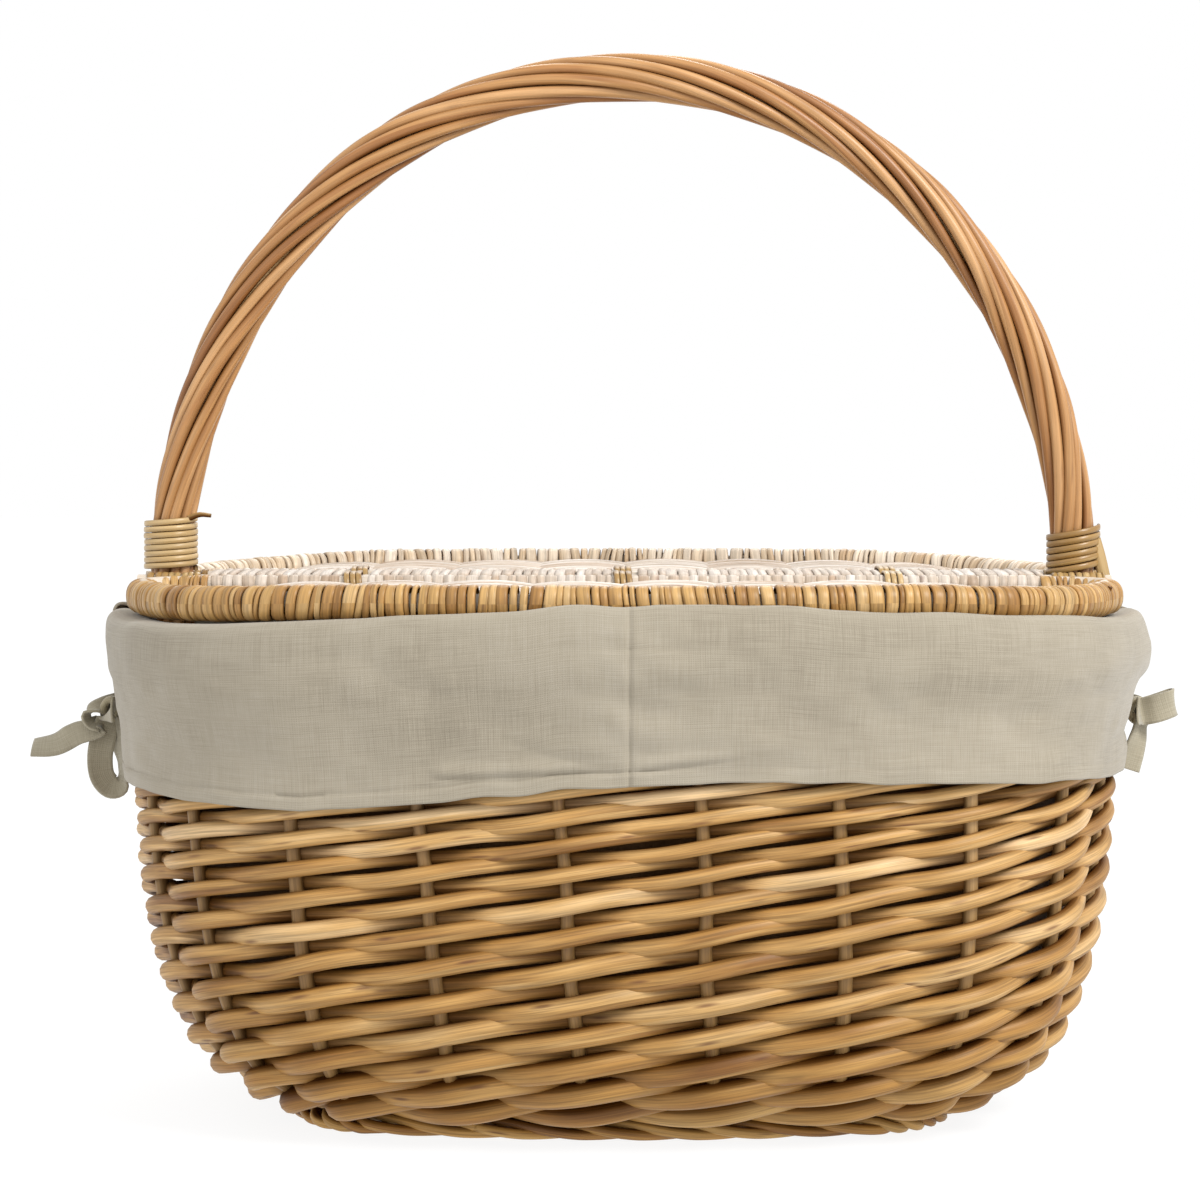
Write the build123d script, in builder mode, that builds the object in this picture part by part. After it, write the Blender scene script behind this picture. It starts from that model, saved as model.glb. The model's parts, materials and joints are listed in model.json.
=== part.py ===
"""Lidded willow bread basket with a fixed hoop handle and a linen liner.

Millimetres.  +X is the long side to the right, +Y is the back, +Z is up.
The origin is the middle of the flat underside, on the surface the basket stands on.

Every level of the basket is one squarish oval of eight tangent arcs: two end arcs about the
origin, two side arcs about points on the Y axis, and four corner arcs between them.  An oval
is named by its half length, and all the ovals are offsets of each other, so a wall is one
section turned about the arc centres.
"""

import os
from math import atan2, cos, degrees, pi, radians, sin, sqrt

from build123d import *

# ---- driving dimensions ------------------------------------------------------------------
TOP_HALF_LENGTH = 200.0
TOP_HALF_WIDTH = 150.0
TOP_CORNER_RADIUS = 100.0
TOP_SIDE_RADIUS = 500.0

FOOT_HALF_LENGTH = 132.5
WALL_ARCS = [(88.0, 20.0, 75.0), (356.0, 75.0, 84.0), (775.0, 84.0, 90.0)]
WALL_THICKNESS = 11.0
FOOT_HEIGHT = 9.3
WALE_TOP = 24.0
BOTTOM_WEAVE_TOP = 48.0
LOWER_WEAVE_TOP = 78.0
MIDDLE_WEAVE_TOP = 132.0
BORDER_BOTTOM = 188.0
BORDER_TOP = 202.5
BORDER_INNER = 192.1
BORDER_OUTER = 203.5

STAKE_COUNT = 22
STAKE_DIAMETER = 5.2
STAKE_START_ANGLE = 32.0
STAKE_TOP = 200.5

BASE_HALF_LENGTH = 123.8
SHORT_STICK_COUNT = 7
SHORT_STICK_PITCH = 25.0
SHORT_STICK_DIAMETER = 6.4
LONG_STICK_COUNT = 3
LONG_STICK_PITCH = 9.0
LONG_STICK_DIAMETER = 4.2

LID_TOP = 219.0
LID_MIDDLE = 212.0
RIM_RADIUS = 7.0
RIM_HALF_LENGTH = 195.0
HOOP_DIAMETER = 7.0
HINGE_Y = 25.5
HOOP_CORNER_RADIUS = 16.0
BARE_HINGE_HALF_LENGTH = 166.0
PANEL_BOTTOM = 208.0
PANEL_TOP = 214.0
PANEL_INSET = 7.3
RIB_PITCH = 36.0
RIB_COUNT = 8
RIB_DIAMETER = 4.6

BRIDGE_ROD_DIAMETER = 7.0
BRIDGE_ROD_Y = 13.5
BRIDGE_HALF_LENGTH = 196.0
BRIDGE_WEAVE_HALF_LENGTH = 168.0
BRIDGE_WEAVE_THICKNESS = 4.0
LOOP_WIDTH = 7.0
LOOP_THICKNESS = 1.6
LOOP_CLEARANCE = 0.35
LOOP_X = 108.0
LOOP_NOTCH_RADIUS = 6.6

HANDLE_HALF_SPAN = 182.0
HANDLE_RISE = 196.6
HANDLE_TOP_RADIUS = 172.0
CORE_RADIUS = 5.2
STRAND_COUNT = 10
STRAND_RADIUS = 2.3
STRAND_CIRCLE = 7.58
CORE_BOTTOM = 128.0
STRAND_BOTTOM = 190.5
BINDING_BOTTOM = 217.0
BINDING_TOP = 238.0
BINDING_THICKNESS = 2.5

LINER_THICKNESS = 1.8
LINER_DEPTH = 11.6
LINER_TOP = 199.5
SLIT_HALF_WIDTH = 12.5
SLIT_BOTTOM = 124.0
CUFF_HEM = 134.0

TIE_HEIGHT = 160.0
KNOT_SIZE = 7.0
KNOT_X = 210.0
TAPE_WIDTH = 8.0
TAPE_THICKNESS = 1.6

# ---- values that follow from them --------------------------------------------------------
SIDE_CENTRE = TOP_SIDE_RADIUS - TOP_HALF_WIDTH
SIDE_SHIFT = TOP_SIDE_RADIUS - TOP_HALF_LENGTH
CORNER_SHIFT = TOP_CORNER_RADIUS - TOP_HALF_LENGTH
CORNER_Y = ((TOP_SIDE_RADIUS - TOP_CORNER_RADIUS) ** 2 - CORNER_SHIFT**2 - SIDE_CENTRE**2) / (
    2 * SIDE_CENTRE
)
CORNER_X = sqrt(CORNER_SHIFT**2 - CORNER_Y**2)
END_ANGLE = degrees(atan2(CORNER_Y, CORNER_X))
SIDE_ANGLE = degrees(atan2(CORNER_Y + SIDE_CENTRE, CORNER_X))
END_SPAN = 2 * END_ANGLE
CORNER_SPAN = SIDE_ANGLE - END_ANGLE
SIDE_SPAN = 180 - 2 * SIDE_ANGLE
# centre, first direction, angle turned, and radius minus half length, of each oval arc
OVAL_ARCS = [
    ((0, 0), -END_ANGLE, END_SPAN, 0),
    ((CORNER_X, CORNER_Y), END_ANGLE, CORNER_SPAN, CORNER_SHIFT),
    ((0, -SIDE_CENTRE), SIDE_ANGLE, SIDE_SPAN, SIDE_SHIFT),
    ((-CORNER_X, CORNER_Y), 180 - SIDE_ANGLE, CORNER_SPAN, CORNER_SHIFT),
    ((0, 0), 180 - END_ANGLE, END_SPAN, 0),
    ((-CORNER_X, -CORNER_Y), 180 + END_ANGLE, CORNER_SPAN, CORNER_SHIFT),
    ((0, SIDE_CENTRE), 180 + SIDE_ANGLE, SIDE_SPAN, SIDE_SHIFT),
    ((CORNER_X, -CORNER_Y), -SIDE_ANGLE, CORNER_SPAN, CORNER_SHIFT),
]

# the handle is a flattened half ellipse: a top arc between two side arcs
HANDLE_DROP = HANDLE_RISE - HANDLE_TOP_RADIUS
HANDLE_SIDE_RADIUS = (
    HANDLE_DROP**2 + HANDLE_HALF_SPAN**2 - HANDLE_TOP_RADIUS**2
) / (2 * (HANDLE_HALF_SPAN - HANDLE_TOP_RADIUS))
HANDLE_SIDE_X = HANDLE_SIDE_RADIUS - HANDLE_HALF_SPAN
HANDLE_JOIN = degrees(atan2(HANDLE_DROP, HANDLE_SIDE_X))
HANDLE_ENVELOPE = STRAND_CIRCLE + STRAND_RADIUS

os.makedirs("parts", exist_ok=True)


def save(part, name):
    """Label a finished piece and write it to its own file."""
    part.label = name
    export_step(part, f"parts/{name}.step")


def wall_centres():
    """Centre of each wall arc, in (half length, height)."""
    centres = []
    x, z = FOOT_HALF_LENGTH, 0.0
    for radius, first, last in WALL_ARCS:
        centre_x = x - radius * sin(radians(first))
        centre_z = z + radius * cos(radians(first))
        centres.append((centre_x, centre_z))
        x = centre_x + radius * sin(radians(last))
        z = centre_z - radius * cos(radians(last))
    return centres


def wall_point(arc, angle, depth, shift):
    """Point of the wall at a tangent angle, this deep inside its outer face."""
    centre_x, centre_z = wall_centres()[arc]
    radius = WALL_ARCS[arc][0] - depth
    return (
        centre_x + shift + radius * sin(radians(angle)),
        centre_z - radius * cos(radians(angle)),
    )


def wall_curve(depth, shift, start=None):
    """The wall's arcs at one depth, in the line builder that is open."""
    for (radius, first, last), centre in zip(WALL_ARCS, wall_centres()):
        begin = first if start is None or radius != WALL_ARCS[0][0] else start
        CenterArc((centre[0] + shift, centre[1]), radius - depth, begin - 90, last - begin)


def wall_section(outer, inner, low, high, shift):
    """Face between two depths of the wall and two heights."""
    first, last = WALL_ARCS[0][1], WALL_ARCS[-1][2]
    with BuildLine() as outline:
        wall_curve(outer, shift)
        wall_curve(inner, shift)
        Line(wall_point(0, first, outer, shift), wall_point(0, first, inner, shift))
        Line(wall_point(-1, last, outer, shift), wall_point(-1, last, inner, shift))
    make_face(outline.edges())
    with Locations((TOP_HALF_LENGTH + shift, (low + high) / 2)):
        Rectangle(2 * TOP_HALF_LENGTH, high - low, mode=Mode.INTERSECT)


def oval_turn(draw_section):
    """Turn a section about every arc of the oval, in the part that is open."""
    for centre, start, span, shift in OVAL_ARCS:
        across = (cos(radians(start)), sin(radians(start)), 0)
        against = (sin(radians(start)), -cos(radians(start)), 0)
        origin = (centre[0], centre[1], 0)
        with BuildSketch(Plane(origin=origin, x_dir=across, z_dir=against)) as section:
            draw_section(shift)
        revolve(section.sketch, axis=Axis(origin, (0, 0, 1)), revolution_arc=span)


def oval_face(half_length):
    """Face of one oval, in the sketch that is open."""
    with BuildLine() as outline:
        for centre, start, span, shift in OVAL_ARCS:
            CenterArc(centre, half_length + shift, start, span)
    make_face(outline.edges())


def stake_planes():
    """Upright plane of each side stake, and its shift from half length to radius."""
    lengths = [radians(span) * (TOP_HALF_LENGTH + shift) for _, _, span, shift in OVAL_ARCS]
    planes = []
    for number in range(STAKE_COUNT):
        distance = lengths[0] / 2 + number * sum(lengths) / STAKE_COUNT
        arc = 0
        while distance > lengths[arc % len(lengths)]:
            distance -= lengths[arc % len(lengths)]
            arc += 1
        centre, start, _, shift = OVAL_ARCS[arc % len(lengths)]
        angle = radians(start) + distance / (TOP_HALF_LENGTH + shift)
        across = (cos(angle), sin(angle), 0)
        against = (sin(angle), -cos(angle), 0)
        plane = Plane(origin=(centre[0], centre[1], 0), x_dir=across, z_dir=against)
        planes.append((plane, shift))
    return planes


# ---- side stakes -------------------------------------------------------------------------
def make_stakes():
    """The upright rods that the sides are woven on."""
    middle = WALL_THICKNESS / 2
    for plane, shift in stake_planes():
        with BuildLine(plane) as path:
            wall_curve(middle, shift, STAKE_START_ANGLE)
            top = wall_point(-1, WALL_ARCS[-1][2], middle, shift)
            Line(top, (top[0], STAKE_TOP))
        with BuildSketch(Plane(origin=path.line @ 0, z_dir=path.line % 0)) as section:
            Circle(STAKE_DIAMETER / 2)
        sweep(section.sketch, path=path.line)


with BuildPart() as side_stakes:
    make_stakes()
save(side_stakes.part, "side_stakes")


# ---- woven wall --------------------------------------------------------------------------
def woven_course(name, low, high):
    """One closed course of the woven wall, open where the stakes pass through."""
    with BuildPart() as course:
        oval_turn(lambda shift: wall_section(0, WALL_THICKNESS, low, high, shift))
        add(side_stakes.part, mode=Mode.SUBTRACT)
    save(course.part, name)


woven_course("upsett_wale", FOOT_HEIGHT, WALE_TOP)
woven_course("side_weave_bottom", WALE_TOP, BOTTOM_WEAVE_TOP)
woven_course("side_weave_lower", BOTTOM_WEAVE_TOP, LOWER_WEAVE_TOP)
woven_course("side_weave_middle", LOWER_WEAVE_TOP, MIDDLE_WEAVE_TOP)
woven_course("side_weave_upper", MIDDLE_WEAVE_TOP, BORDER_BOTTOM)


def border_section(shift):
    """Rounded section of the plaited top border."""
    width, height = BORDER_OUTER - BORDER_INNER, BORDER_TOP - BORDER_BOTTOM
    middle = (BORDER_INNER + width / 2 + shift, BORDER_BOTTOM + height / 2)
    with Locations(middle):
        RectangleRounded(width, height, 3.0)


with BuildPart() as top_border:
    oval_turn(border_section)
    add(side_stakes.part, mode=Mode.SUBTRACT)
save(top_border.part, "top_border")


def foot_section(shift):
    """Section of the foot border, between the base and the flare of the wall."""
    wall_section(0, 2 * WALL_THICKNESS, 0, FOOT_HEIGHT, shift)
    foot_inner = BASE_HALF_LENGTH + 0.1 + shift
    with Locations((foot_inner, 0)):
        Rectangle(WALL_THICKNESS, FOOT_HEIGHT, align=(Align.MIN, Align.MIN))
    with Locations((foot_inner, 0)):
        Rectangle(
            3 * WALL_THICKNESS, FOOT_HEIGHT, align=(Align.MIN, Align.MIN), mode=Mode.INTERSECT
        )


with BuildPart() as foot_border:
    oval_turn(foot_section)
save(foot_border.part, "foot_border")


# ---- base --------------------------------------------------------------------------------
STICK_HEIGHT = FOOT_HEIGHT / 2

with BuildPart() as base_long_sticks:
    for row in range(LONG_STICK_COUNT):
        offset_y = (row - (LONG_STICK_COUNT - 1) / 2) * LONG_STICK_PITCH
        with BuildSketch(Plane.YZ.offset(-BASE_HALF_LENGTH + 6)):
            with Locations((offset_y, STICK_HEIGHT)):
                Circle(LONG_STICK_DIAMETER / 2)
        extrude(amount=2 * BASE_HALF_LENGTH - 12)
save(base_long_sticks.part, "base_long_sticks")

with BuildPart() as base_short_sticks:
    for row in range(SHORT_STICK_COUNT):
        offset_x = (row - (SHORT_STICK_COUNT - 1) / 2) * SHORT_STICK_PITCH
        side_radius = BASE_HALF_LENGTH + SIDE_SHIFT - 4
        half_length = sqrt(side_radius**2 - offset_x**2) - SIDE_CENTRE
        with BuildSketch(Plane.XZ.offset(-half_length)):
            with Locations((offset_x, STICK_HEIGHT)):
                Circle(SHORT_STICK_DIAMETER / 2)
        extrude(amount=2 * half_length)
    add(base_long_sticks.part, mode=Mode.SUBTRACT)
save(base_short_sticks.part, "base_short_sticks")

with BuildPart() as base_weave:
    with BuildSketch():
        oval_face(BASE_HALF_LENGTH)
    extrude(amount=FOOT_HEIGHT)
    add(base_long_sticks.part, mode=Mode.SUBTRACT)
    add(base_short_sticks.part, mode=Mode.SUBTRACT)
save(base_weave.part, "base_weave")


# ---- handle ------------------------------------------------------------------------------
def handle_path(outward, side, bottom):
    """Handle line, moved outward in its own plane and sideways along Y."""
    leg = HANDLE_HALF_SPAN + outward
    with BuildLine(Plane.XZ.offset(-side)) as path:
        Line((leg, bottom), (leg, LID_TOP))
        CenterArc((-HANDLE_SIDE_X, LID_TOP), HANDLE_SIDE_RADIUS + outward, 0, HANDLE_JOIN)
        CenterArc(
            (0, LID_TOP + HANDLE_DROP),
            HANDLE_TOP_RADIUS + outward,
            HANDLE_JOIN,
            180 - 2 * HANDLE_JOIN,
        )
        CenterArc(
            (HANDLE_SIDE_X, LID_TOP), HANDLE_SIDE_RADIUS + outward, 180 - HANDLE_JOIN, HANDLE_JOIN
        )
        Line((-leg, LID_TOP), (-leg, bottom))
    return path.line


def handle_rod(name, radius, outward, side, bottom):
    """One round rod that follows the handle line."""
    line = handle_path(outward, side, bottom)
    with BuildPart() as rod:
        with BuildSketch(Plane(origin=line @ 0, z_dir=line % 0)):
            Circle(radius)
        sweep(path=line)
    save(rod.part, name)


handle_rod("handle_core", CORE_RADIUS, 0, 0, CORE_BOTTOM)
for strand in range(STRAND_COUNT):
    turn = 2 * pi * (strand + 0.5) / STRAND_COUNT
    handle_rod(
        f"handle_strand_{strand + 1}",
        STRAND_RADIUS,
        STRAND_CIRCLE * cos(turn),
        STRAND_CIRCLE * sin(turn),
        STRAND_BOTTOM,
    )


def foot_binding(name, end):
    """Cane binding round one foot of the handle; end is 1 for right and -1 for left."""
    rise = BINDING_TOP - LID_TOP
    angle = degrees(rise / HANDLE_SIDE_RADIUS)
    with BuildPart() as binding:
        with BuildLine(Plane.XZ) as path:
            Line((end * HANDLE_HALF_SPAN, BINDING_BOTTOM), (end * HANDLE_HALF_SPAN, LID_TOP))
            start = 0 if end > 0 else 180
            centre = (-end * HANDLE_SIDE_X, LID_TOP)
            CenterArc(centre, HANDLE_SIDE_RADIUS, start, end * angle)
        with BuildSketch(Plane.XY.offset(BINDING_BOTTOM)):
            with Locations((end * HANDLE_HALF_SPAN, 0)):
                Circle(HANDLE_ENVELOPE + 0.05 + BINDING_THICKNESS)
                Circle(HANDLE_ENVELOPE + 0.05, mode=Mode.SUBTRACT)
        sweep(path=path.line)
    save(binding.part, name)


foot_binding("handle_binding_left", -1)
foot_binding("handle_binding_right", 1)


# ---- bridge between the handle feet ------------------------------------------------------
def bridge_rod(name, y):
    """Straight rod beside the handle feet, which carries the lid hinges."""
    with BuildPart() as rod:
        with BuildSketch(Plane.YZ.offset(-BRIDGE_HALF_LENGTH)):
            with Locations((y, LID_MIDDLE)):
                Circle(BRIDGE_ROD_DIAMETER / 2)
        extrude(amount=2 * BRIDGE_HALF_LENGTH)
    save(rod.part, name)
    return rod.part


bridge_rod_front = bridge_rod("bridge_rod_front", -BRIDGE_ROD_Y)
bridge_rod_rear = bridge_rod("bridge_rod_rear", BRIDGE_ROD_Y)

with BuildPart() as bridge_weave:
    with Locations((0, 0, LID_MIDDLE)):
        Box(2 * BRIDGE_WEAVE_HALF_LENGTH, 2 * BRIDGE_ROD_Y, BRIDGE_WEAVE_THICKNESS)
    add(bridge_rod_front, mode=Mode.SUBTRACT)
    add(bridge_rod_rear, mode=Mode.SUBTRACT)
    with Locations([(x, y) for x in (-LOOP_X, 0, LOOP_X) for y in (-BRIDGE_ROD_Y, BRIDGE_ROD_Y)]):
        Cylinder(LOOP_NOTCH_RADIUS, 2 * LID_TOP, mode=Mode.SUBTRACT)
save(bridge_weave.part, "bridge_weave")

LASHING_LENGTH = 21.0
LASHING_HALF_WIDTH = BRIDGE_ROD_Y + BRIDGE_ROD_DIAMETER / 2 + 0.4
LASHING_HEIGHT = BRIDGE_ROD_DIAMETER + 1.6


def bridge_lashing(name, end):
    """Lashing that ties both bridge rods to one foot of the handle."""
    x = end * HANDLE_HALF_SPAN
    with BuildPart() as lashing:
        with Locations((x, 0, LID_MIDDLE)):
            Box(LASHING_LENGTH, 2 * LASHING_HALF_WIDTH, LASHING_HEIGHT)
            Cylinder(HANDLE_ENVELOPE + 0.05, 2 * LASHING_HEIGHT, mode=Mode.SUBTRACT)
        add(bridge_rod_front, mode=Mode.SUBTRACT)
        add(bridge_rod_rear, mode=Mode.SUBTRACT)
    save(lashing.part, name)


bridge_lashing("bridge_lashing_left", -1)
bridge_lashing("bridge_lashing_right", 1)


# ---- hinge loops -------------------------------------------------------------------------
def hinge_loop(name, x, side):
    """Cane loop round a bridge rod and a lid's hinge rod; side is -1 front, 1 rear."""
    rod_radius = BRIDGE_ROD_DIAMETER / 2
    free_radius = HOOP_DIAMETER / 2 + LOOP_CLEARANCE
    middle = side * (BRIDGE_ROD_Y + HINGE_Y) / 2
    spread = HINGE_Y - BRIDGE_ROD_Y
    with BuildPart() as loop:
        with BuildSketch(Plane.YZ.offset(x - LOOP_WIDTH / 2)):
            with Locations((middle, LID_MIDDLE)):
                SlotCenterToCenter(spread, 2 * (free_radius + LOOP_THICKNESS))
                Rectangle(spread, 2 * (free_radius - 1.0), mode=Mode.SUBTRACT)
            with Locations((side * BRIDGE_ROD_Y, LID_MIDDLE)):
                Circle(rod_radius, mode=Mode.SUBTRACT)
            with Locations((side * HINGE_Y, LID_MIDDLE)):
                Circle(free_radius, mode=Mode.SUBTRACT)
        extrude(amount=LOOP_WIDTH)
    save(loop.part, name)


for side_name, side in (("front", -1), ("rear", 1)):
    for place, x in (("left", -LOOP_X), ("middle", 0), ("right", LOOP_X)):
        hinge_loop(f"{side_name}_hinge_loop_{place}", x, side)


# ---- half lids ---------------------------------------------------------------------------
def lid_outline():
    """Level face inside the rear lid's hoop line: the oval behind the hinge line."""
    far = TOP_HALF_WIDTH + 50
    with BuildSketch() as outline:
        oval_face(RIM_HALF_LENGTH)
        with Locations((0, HINGE_Y + far / 2)):
            Rectangle(3 * TOP_HALF_LENGTH, far, mode=Mode.INTERSECT)
        fillet(outline.vertices().group_by(Axis.Y)[0], HOOP_CORNER_RADIUS)
    return outline.face()


def save_lid_part(part, name):
    """Write a part of the rear lid, and its mirror image for the front lid."""
    save(part, f"rear_lid_{name}")
    save(mirror(part, about=Plane.XZ), f"front_lid_{name}")


def make_lids():
    """Hoop, wrapped rim, ribs and woven panel of both half lids."""
    outline = lid_outline()
    rim_line = outline.moved(Location((0, 0, LID_MIDDLE))).outer_wire()
    start = Plane(origin=rim_line @ 0, z_dir=rim_line % 0)

    with BuildPart() as hoop:
        with BuildSketch(start):
            Circle(HOOP_DIAMETER / 2)
        sweep(path=rim_line)
    save_lid_part(hoop.part, "hoop")

    with BuildPart() as ribs:
        for number in range(RIB_COUNT):
            x = (number - (RIB_COUNT - 1) / 2) * RIB_PITCH
            near = HINGE_Y + HOOP_DIAMETER / 2
            with BuildSketch(Plane.XZ.offset(-near)):
                with Locations((x, (PANEL_BOTTOM + PANEL_TOP) / 2)):
                    Circle(RIB_DIAMETER / 2)
            extrude(amount=-TOP_HALF_WIDTH)
        with BuildSketch(Plane.XY.offset(PANEL_BOTTOM)):
            oval_face(RIM_HALF_LENGTH - HOOP_DIAMETER / 2)
        extrude(amount=PANEL_TOP - PANEL_BOTTOM, mode=Mode.INTERSECT)
    save_lid_part(ribs.part, "ribs")

    with BuildPart() as rim_wrap:
        with BuildSketch(start):
            Circle(RIM_RADIUS)
        sweep(path=rim_line)
        with Locations((0, HINGE_Y, LID_MIDDLE)):
            Box(2 * BARE_HINGE_HALF_LENGTH, 2.4 * RIM_RADIUS, 4 * RIM_RADIUS, mode=Mode.SUBTRACT)
        add(hoop.part, mode=Mode.SUBTRACT)
        add(ribs.part, mode=Mode.SUBTRACT)
    save_lid_part(rim_wrap.part, "rim_wrap")

    with BuildPart() as weave:
        with BuildSketch(Plane.XY.offset(PANEL_BOTTOM)):
            add(outline)
            offset(amount=-PANEL_INSET)
        extrude(amount=PANEL_TOP - PANEL_BOTTOM)
        add(ribs.part, mode=Mode.SUBTRACT)
    save_lid_part(weave.part, "weave")


make_lids()


# ---- linen liner -------------------------------------------------------------------------
def slit_boxes(low, high):
    """Clear both handle feet, from low to high, out of the part that is open."""
    with Locations(
        (TOP_HALF_LENGTH, 0, (low + high) / 2), (-TOP_HALF_LENGTH, 0, (low + high) / 2)
    ):
        Box(80, 2 * SLIT_HALF_WIDTH, high - low, mode=Mode.SUBTRACT)


def bag_section(shift):
    """Section of the liner bag's wall."""
    depth = LINER_DEPTH
    wall_section(depth, depth + LINER_THICKNESS, 0, LINER_TOP, shift)
    top_x, top_z = wall_point(-1, WALL_ARCS[-1][2], depth, shift)
    with Locations((top_x, top_z)):
        Rectangle(LINER_THICKNESS, LINER_TOP - top_z, align=(Align.MAX, Align.MIN))


with BuildPart() as liner_bag:
    oval_turn(bag_section)
    floor_bottom = wall_point(0, WALL_ARCS[0][1], LINER_DEPTH, 0)
    with BuildSketch(Plane.XY.offset(floor_bottom[1])):
        oval_face(floor_bottom[0])
    extrude(amount=LINER_THICKNESS)
    slit_boxes(SLIT_BOTTOM, BORDER_TOP + 5)
save(liner_bag.part, "liner_bag")

CUFF_INSIDE = wall_point(-1, WALL_ARCS[-1][2], LINER_DEPTH, 0)[0]
CUFF_TOP = BORDER_TOP + 0.2
# outer face of the cuff, from the inside edge over the border and down to the hem
CUFF_OUTER = [
    (CUFF_INSIDE - LINER_THICKNESS, LINER_TOP),
    (CUFF_INSIDE - LINER_THICKNESS, CUFF_TOP + LINER_THICKNESS),
    (205.2, CUFF_TOP + LINER_THICKNESS),
    (210.4, 187.0),
    (206.2, TIE_HEIGHT),
    (204.8, CUFF_HEM),
]
CUFF_INNER = [
    (CUFF_INSIDE, LINER_TOP),
    (CUFF_INSIDE, CUFF_TOP),
    (204.0, CUFF_TOP),
    (208.6, 187.0),
    (204.4, TIE_HEIGHT),
    (203.0, CUFF_HEM),
]


def cuff_section(shift):
    """Section of the liner's folded cuff."""
    loop = CUFF_OUTER + CUFF_INNER[::-1]
    with BuildLine() as outline:
        Polyline([(x + shift, z) for x, z in loop], close=True)
    make_face(outline.edges())


def make_cuff(name, side):
    """Cuff panel on one side; side is -1 front, 1 rear."""
    span = 2 * TOP_HALF_LENGTH
    with BuildPart() as cuff:
        oval_turn(cuff_section)
        with Locations((0, side * (SLIT_HALF_WIDTH - span / 2), TIE_HEIGHT)):
            Box(2 * span, span, span, mode=Mode.SUBTRACT)
    save(cuff.part, name)


make_cuff("liner_cuff_front", -1)
make_cuff("liner_cuff_rear", 1)


# ---- ties --------------------------------------------------------------------------------
def strap(end, side):
    """Tape from a cuff's edge to the knot."""
    reach = 2 * SLIT_HALF_WIDTH - 2
    with Locations((end * (KNOT_X - 3.0), side * (KNOT_SIZE / 2 + reach / 2), TIE_HEIGHT)):
        Box(TAPE_THICKNESS, reach, TAPE_WIDTH)


def knot(end):
    """The gathered knot between the two cuff panels."""
    with Locations((end * KNOT_X, 0, TIE_HEIGHT)):
        Box(KNOT_SIZE, KNOT_SIZE, 1.2 * KNOT_SIZE)


def loop_tape(height, width, middle, y_low):
    """A closed loop of tape seen from the front, upright or lying."""
    with BuildSketch(Plane.XZ.offset(-y_low - TAPE_WIDTH)) as face:
        with Locations(middle):
            RectangleRounded(width, height, min(width, height) / 2 - 0.1)
            RectangleRounded(
                width - 2 * TAPE_THICKNESS,
                height - 2 * TAPE_THICKNESS,
                min(width, height) / 2 - TAPE_THICKNESS - 0.1,
                mode=Mode.SUBTRACT,
            )
    extrude(face.sketch, amount=TAPE_WIDTH)


def tail_tape(points):
    """A flat tail, drawn edge on from the front."""
    with BuildSketch(Plane.XZ.offset(-TAPE_WIDTH / 2)) as face:
        with BuildLine():
            Polyline(points, close=True)
        make_face()
    extrude(face.sketch, amount=TAPE_WIDTH)


KNOT_BOTTOM = TIE_HEIGHT - 0.6 * KNOT_SIZE

with BuildPart() as tie_left_front:
    strap(-1, -1)
    knot(-1)
    loop_tape(30.0, 12.0, (-KNOT_X - 3.0, KNOT_BOTTOM - 14.9), -TAPE_WIDTH / 2)
save(tie_left_front.part, "tie_left_front")

with BuildPart() as tie_left_rear:
    strap(-1, 1)
    upper_edge = [(-213.6, 159.0), (-228.0, 151.5), (-243.0, 147.0)]
    lower_edge = [(-243.4, 145.4), (-228.0, 149.8), (-213.6, 157.2)]
    tail_tape(upper_edge + lower_edge)
save(tie_left_rear.part, "tie_left_rear")

with BuildPart() as tie_right_front:
    strap(1, -1)
    knot(1)
    loop_tape(13.0, 12.0, (KNOT_X + KNOT_SIZE / 2 + 5.9, TIE_HEIGHT), -TAPE_WIDTH / 2)
save(tie_right_front.part, "tie_right_front")

with BuildPart() as tie_right_rear:
    strap(1, 1)
    tail_tape([(208.4, KNOT_BOTTOM), (209.4, 136.0), (207.6, 136.0), (206.8, KNOT_BOTTOM)])
save(tie_right_rear.part, "tie_right_rear")
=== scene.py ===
"""Looks of the willow bread basket: every rod, skein, cane and piece of linen."""

import json
import math

import bmesh
import bpy
import numpy as np
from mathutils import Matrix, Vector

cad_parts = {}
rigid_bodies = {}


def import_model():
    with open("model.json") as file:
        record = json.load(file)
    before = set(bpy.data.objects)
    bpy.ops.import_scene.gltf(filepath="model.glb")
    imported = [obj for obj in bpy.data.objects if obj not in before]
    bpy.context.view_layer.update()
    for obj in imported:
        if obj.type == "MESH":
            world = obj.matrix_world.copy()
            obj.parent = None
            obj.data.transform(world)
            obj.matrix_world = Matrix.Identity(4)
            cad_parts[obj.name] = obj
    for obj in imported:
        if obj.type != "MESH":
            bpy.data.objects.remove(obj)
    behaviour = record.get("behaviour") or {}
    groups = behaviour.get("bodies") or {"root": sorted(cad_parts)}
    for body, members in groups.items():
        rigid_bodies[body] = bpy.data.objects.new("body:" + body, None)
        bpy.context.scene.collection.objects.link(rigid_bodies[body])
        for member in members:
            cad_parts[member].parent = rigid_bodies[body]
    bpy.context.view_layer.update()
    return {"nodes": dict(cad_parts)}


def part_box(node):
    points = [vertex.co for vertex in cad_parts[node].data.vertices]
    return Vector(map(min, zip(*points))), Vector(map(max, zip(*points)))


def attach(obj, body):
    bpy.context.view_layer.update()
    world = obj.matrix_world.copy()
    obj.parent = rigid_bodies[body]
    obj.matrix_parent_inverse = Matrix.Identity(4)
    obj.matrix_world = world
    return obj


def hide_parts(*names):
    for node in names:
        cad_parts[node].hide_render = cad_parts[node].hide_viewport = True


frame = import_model()

# Shapes below are worked out in millimetres and turned into metres when a mesh is made.
MM = 0.001
ALONG_X, ALONG_Y, UP = np.eye(3)

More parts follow.
